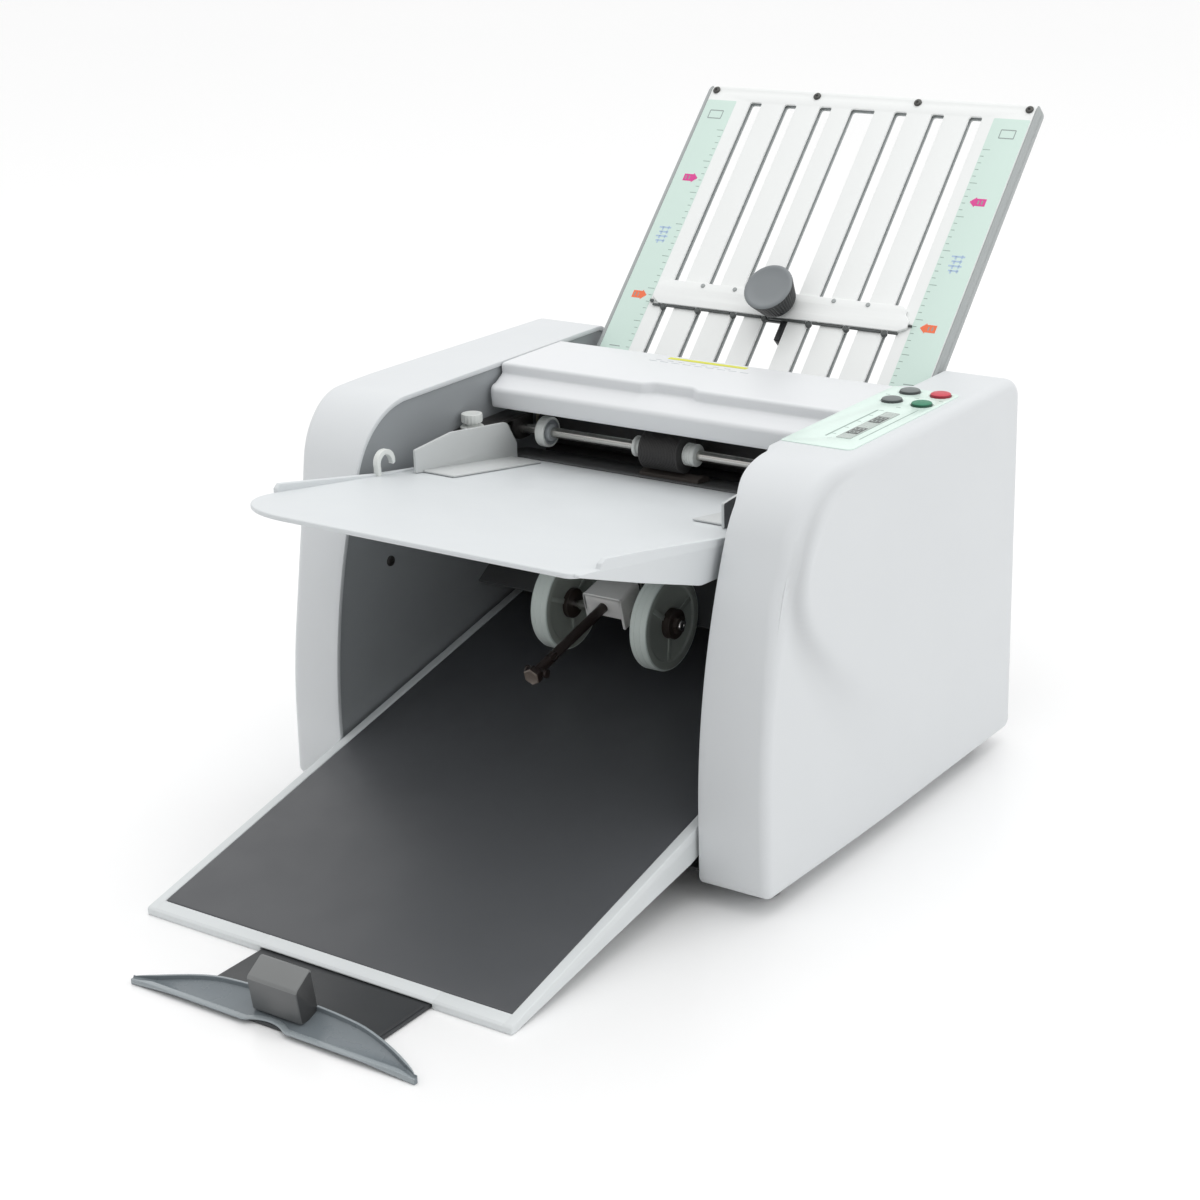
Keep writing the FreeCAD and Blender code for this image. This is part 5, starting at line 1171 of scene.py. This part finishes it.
def paper_stop():
    """A shallow dish in crescent form: thick round lip in front, thin rim behind, a finger notch under the block."""
    n = 128
    rings, fm = [], []
    for k in range(n + 1):
        u = -1 + 2 * k / n
        u = math.copysign(1 - (1 - abs(u)) ** 1.6, u) if abs(u) > 1e-9 else 0.0
        x = CX + (HALF - 0.3) * u
        yb = max(arc_y(x, 0.0), YF + 2.6)
        notch = max(0.0, 1.0 - ((x - 16.0) / 12.5) ** 2) ** 0.7
        yf = YF + min((yb - YF) * 0.4, 4.6 * notch)
        d = yb - yf
        g = min(1.0, d / 9.0)
        top = -0.9 - 5.3 * ramp(abs(u), 0.45, 1.0)             # rim
        zf = -6.9 - 0.5 * ramp(abs(u), 0.85, 1.0)              # lip
        low = -8.3 - 2.2 * ramp(abs(x - 16.25), 57.6, 93.0)
        lw, rw = 4.0 * g, 1.5 * g
        z1 = min(zf - 0.35 * g, top - 0.4)                     # dish floor by the lip
        z2 = top - 2.6 * g
        pts = [(yf + 0.8 * g, low), (yf + 0.25 * g, low + 0.15 * (zf - low)), (yf, low + 0.45 * (zf - low)), (yf + 0.15 * g, zf - 0.30 * (zf - low)), (yf + 0.6 * g, zf - 0.10),
               (yf + 1.4 * g, zf), (yf + lw - 0.9 * g, zf - 0.02), (yf + lw - 0.3 * g, zf - 0.12), (yf + lw, z1)]
        a, b = yf + lw, yb - rw
        for j in range(1, 9):
            t = j / 8.0
            pts.append((a + (b - a) * t, z1 + (z2 - z1) * t ** 1.3 - 0.55 * g * math.sin(math.pi * t)))
        pts += [(b + 0.05 * g, top - 0.35 * g), (b + 0.35 * g, top - 0.05), (yb - 0.5 * g, top), (yb - 0.12 * g, top - 0.15), (yb, top - 0.5), (yb, min(low + 0.6, top - 0.7)), (yb - 0.4 * g, low)]
        rings.append([(x, y, z) for y, z in pts])
    # the front lip and the rim top take the painted highlight copy
    body = loft("dish", rings, [STOPG, STOP_LIT_GREY], angle=40.0, fmat=lambda k, i: 1 if (1 <= i <= 7 or 17 <= i <= 20) else 0)
    blk = rounded([(-219.5, -6.2), (-222.3, 12.6), (-221.4, 13.9), (-211, 20.6), (-209.6, 20.0), (-206.0, -4.5), (-206.0, -6.2)], [1.2, 1.4, 1.4, 1.2, 1.2, 0.4, 0.6], 4)
    m = len(blk)
    verts, faces, fmats = [], [], []
    x0, x1 = 2.0, 34.0
    for x, e in ((x0, 0.9), (x0 + 0.27, 0.27), (x0 + 0.9, 0.0), (x1 - 0.9, 0.0), (x1 - 0.27, 0.27), (x1, 0.9)):
        verts += [(x, -214.0 + (y + 214.0) * (1 - e / 8.0), 4.0 + (z - 4.0) * (1 - e / 14.0)) for y, z in blk]
    for r in range(5):
        for i in range(m):
            j = (i + 1) % m
            faces.append((r * m + i, r * m + j, (r + 1) * m + j, (r + 1) * m + i))
            zc = (blk[i][1] + blk[j][1]) / 2
            fmats.append(1 if zc > 12.0 else 0)
    faces += [tuple(range(m - 1, -1, -1)), tuple(5 * m + i for i in range(m))]
    fmats += [2, 2]
    # faces high on the block take the painted highlight copy, the two end caps the painted shade copy
    block = raw("block", verts, faces, [BLOCK, BLOCK_LIT_TOP, BLOCK_SHADED_SIDE], fmat=fmats, angle=38.0)
    lipb = xprism("tongue", rounded([(-206.6, -7.9), (-206.6, -4.5), (-203.8, -5.0), (-203.8, -7.9)], 0.4, 2), 4.0, 32.0, BLOCK, 0.3)
    return join("paper_stop_moulding", [body, block, lipb])


give(paper_stop(), "stop", "stop_grey", "paper_stop")


# ---------------------------------------------------------------- feet and screws
fts = []
for s in (-1, 1):
    for y in (30.0, 262.0):
        fts.append(lathe("foot", [(0.05, -10.5), (3.0, -10.5), (3.4, -10.0), (5.2, -10.0), (5.6, -10.5), (7.6, -10.5), (8.5, -10.0), (8.7, -9.0), (9.0, -2.0), (9.0, -0.3), (8.6, 0.0), (0.05, 0.0)], FOOTM, Matrix.Translation((s * 148.0, y, 0)), n=48))
give(join("rubber_foot_set", fts), "frame", "foot_rubber", "rubber_feet")
cs = []
for s in (-1, 1):
    for i, (y, z) in enumerate([(56.3, 125.5), (60.0, 30.0), (276.0, 150.0), (278.0, 75.0)]):
        T = tilted(y, z, 0) @ Matrix.Rotation(0 if s > 0 else math.pi, 4, "Z") @ Matrix.Rotation(0.7 * i, 4, "X")
        cs.append(lathe("cs", [(0.05, 124.75), (1.1, 124.75), (1.15, 124.4), (2.1, 124.4), (2.9, 124.8), (3.2, 125.4), (3.2, 126.0), (1.6, 126.0), (1.6, 140.0), (0.9, 140.6)], BLACK, T, axis="x", n=32))
        cs.append(blocks("csl", [(124.45, 124.75, -2.0, 2.0, -0.35, 0.35)], SCREW, T, w=0.04))
give(join("cover_screw_set", cs), "frame", "screw_steel", "cover_screws")

# ---------------------------------------------------------------- rear: inlet and rocker
XZB = Matrix(((1, 0, 0, 0), (0, 0, 1, 0), (0, 1, 0, 0), (0, 0, 0, 1)))      # (x, y, z) -> (x, z, y)
inl = [sheet2d("fl", rounded_rect(-116.0, -80.0, 116.0, 172.0, 3.0), [rounded([(-108, 124), (-88, 124), (-88, 137), (-91, 140), (-105, 140), (-108, 137)], 1.2), rounded_rect(-105.0, -91.0, 146.0, 166.0, 1.0)], 287.0, 289.5, BLACK, w=0.5, T=XZB)]
inl.append(sheet2d("sock", rounded_rect(-111.8, -84.2, 120.2, 143.6, 2.0), [rounded([(-108, 124), (-88, 124), (-88, 137), (-91, 140), (-105, 140), (-108, 137)], 1.2)], 268.0, 288.0, BLACK, w=0.4, T=XZB))
inl.append(sheet2d("rk", rounded_rect(-111.8, -84.2, 143.4, 167.8, 2.0), [rounded_rect(-105.0, -91.0, 146.0, 166.0, 1.0)], 272.0, 288.0, BLACK, w=0.4, T=XZB))
inl.append(blocks("backs", [(-111.8, -84.2, 262.0, 268.4, 120.2, 143.6), (-111.8, -84.2, 262.0, 272.4, 143.4, 167.8)], BLACK, w=0.6, seg=2))
inl.append(blocks("pins", [(-104.6, -102.8, 268.0, 284.0, 130.4, 134.4), (-93.2, -91.4, 268.0, 284.0, 130.4, 134.4), (-98.9, -97.1, 268.0, 285.5, 134.6, 138.6)], BRIGHT, w=0.5, seg=3))
give(join("mains_inlet", inl), "frame", "black_plastic", "power_inlet")


def turned(pts, cy, cz, deg):
    c, s = math.cos(math.radians(deg)), math.sin(math.radians(deg))
    return [(cy + (y - cy) * c - (z - cz) * s, cz + (y - cy) * s + (z - cz) * c) for y, z in pts]


rk = rounded(turned([(276, 152), (276, 160), (288, 163.5), (287.2, 160), (286.9, 156), (287.2, 152), (288, 148.5)], 280.0, 156.0, -7.0), [1, 1, 0.8, 2, 3, 2, 0.8], 4)
rkp = [xprism("rk", rk, -104.6, -91.4, BLACK, 0.6, 3)]
give(join("rocker_key", rkp), "rocker", "black_plastic", "switch_rocker")

# ---------------------------------------------------------------- CAD nodes that keep their shape
CAD_LOOK = {
    "left_side_frame": FRAME, "right_side_frame": FRAME, "base_pan": PAN, "cross_bars": BARS, "control_board": BOARD,
    "fold_gear_1": GEAR, "fold_gear_3": GEAR, "fold_gear_4": GEAR, "idler_gear": GEAR, "feed_gear": GEAR, "main_gear_pulley": GEAR,
    "fold_roller_1": RUBBER, "fold_roller_2": RUBBER, "fold_roller_3": RUBBER, "fold_roller_4": RUBBER, "shaft_bearings": BUSH,
    "drive_motor": MOTOR, "motor_pulley": ALU, "drive_belt": BELT, "infeed_guide": GUIDE_PAINT_AND_SHADE, "separation_pad": PAD,
    "lower_fold_plate": SHEET, "lower_stop_bar": STOPG, "exit_guide": GUIDE_PAINT_AND_SHADE}
EDGES = {"base_pan": 0.3, "control_board": 0.2, "infeed_guide": 0.5, "separation_pad": 0.4, "lower_fold_plate": 0.3, "lower_stop_bar": 0.5,
         "exit_guide": 0.3, "left_side_frame": 0.4, "right_side_frame": 0.4, "cross_bars": 0.4, "drive_motor": 0.8}
for nm, mt in CAD_LOOK.items():
    o = NODES[nm]
    if not o.material_slots:
        o.data.materials.append(mt)
    for sl in o.material_slots:
        sl.link = "OBJECT"
        sl.material = mt
    if nm in EDGES:
        w = o.modifiers.new("join_faces", "WELD")
        w.merge_threshold = 1e-6
        bevel(o, EDGES[nm], 2, 40.0)

# ---------------------------------------------------------------- room and light
def floor():
    n = 24
    size = 12.0
    verts, faces = [], []
    for j in range(n + 1):
        for i in range(n + 1):
            verts.append((-size + 2 * size * i / n, -size + 2 * size * j / n, -0.00005))
    for j in range(n):
        for i in range(n):
            a = j * (n + 1) + i
            faces.append((a, a + 1, a + n + 2, a + n + 1))
    me = bpy.data.meshes.new("floor")
    me.from_pydata(verts, [], faces)
    o = link("floor", me)
    me.materials.append(material("floor_white", (253, 253, 253), rough=0.30, grain=60.0, bump=0.0, vary=0.0, scale=1.5, rough_vary=0.0, spec=0.35))


floor()
sc = bpy.context.scene
sc.view_settings.view_transform = "Standard"
sc.view_settings.look = "None"
sc.view_settings.exposure = 0.0
sc.view_settings.gamma = 1.0
world = bpy.data.worlds.new("studio")
sc.world = world
world.use_nodes = True
wn = world.node_tree
wn.nodes.clear()
wo, bg, wt, sx = (wn.nodes.new(t) for t in ("ShaderNodeOutputWorld", "ShaderNodeBackground", "ShaderNodeTexCoord", "ShaderNodeSeparateXYZ"))
wn.links.new(wt.outputs["Generated"], sx.inputs["Vector"])
# softer towards the front, full from above and from the right
dim = wn.nodes.new("ShaderNodeMapRange")
dim.inputs["From Min"].default_value = -1.0
dim.inputs["From Max"].default_value = 0.2
dim.inputs["To Min"].default_value = 0.47
dim.inputs["To Max"].default_value = 0.90
wn.links.new(sx.outputs["Y"], dim.inputs["Value"])
up = wn.nodes.new("ShaderNodeMapRange")
up.inputs["From Min"].default_value = 0.1
up.inputs["From Max"].default_value = 0.9
up.inputs["To Min"].default_value = 0.0
up.inputs["To Max"].default_value = 0.30
wn.links.new(sx.outputs["Z"], up.inputs["Value"])
add = wn.nodes.new("ShaderNodeMath")
add.operation = "ADD"
wn.links.new(dim.outputs["Result"], add.inputs[0])
wn.links.new(up.outputs["Result"], add.inputs[1])
wn.links.new(add.outputs["Value"], bg.inputs["Strength"])
bg.inputs["Color"].default_value = (1.0, 1.0, 1.0, 1.0)
wn.links.new(bg.outputs["Background"], wo.inputs["Surface"])


def area(name, loc, target, size, power, size_y=None):
    l = bpy.data.lights.new(name, "AREA")
    l.shape = "RECTANGLE"
    l.size = size
    l.size_y = size_y or size
    l.energy = power
    o = bpy.data.objects.new(name, l)
    bpy.context.scene.collection.objects.link(o)
    o.location = loc
    d = Vector(target) - Vector(loc)
    o.rotation_mode = "QUATERNION"
    o.rotation_quaternion = d.to_track_quat("-Z", "Y")
    return o


area("top_soft", (0.15, 0.1, 2.3), (0.0, 0.0, 0.1), 2.2, 10.0)
area("right_soft", (2.4, 0.4, 1.1), (0.1, 0.0, 0.12), 1.6, 3.0)
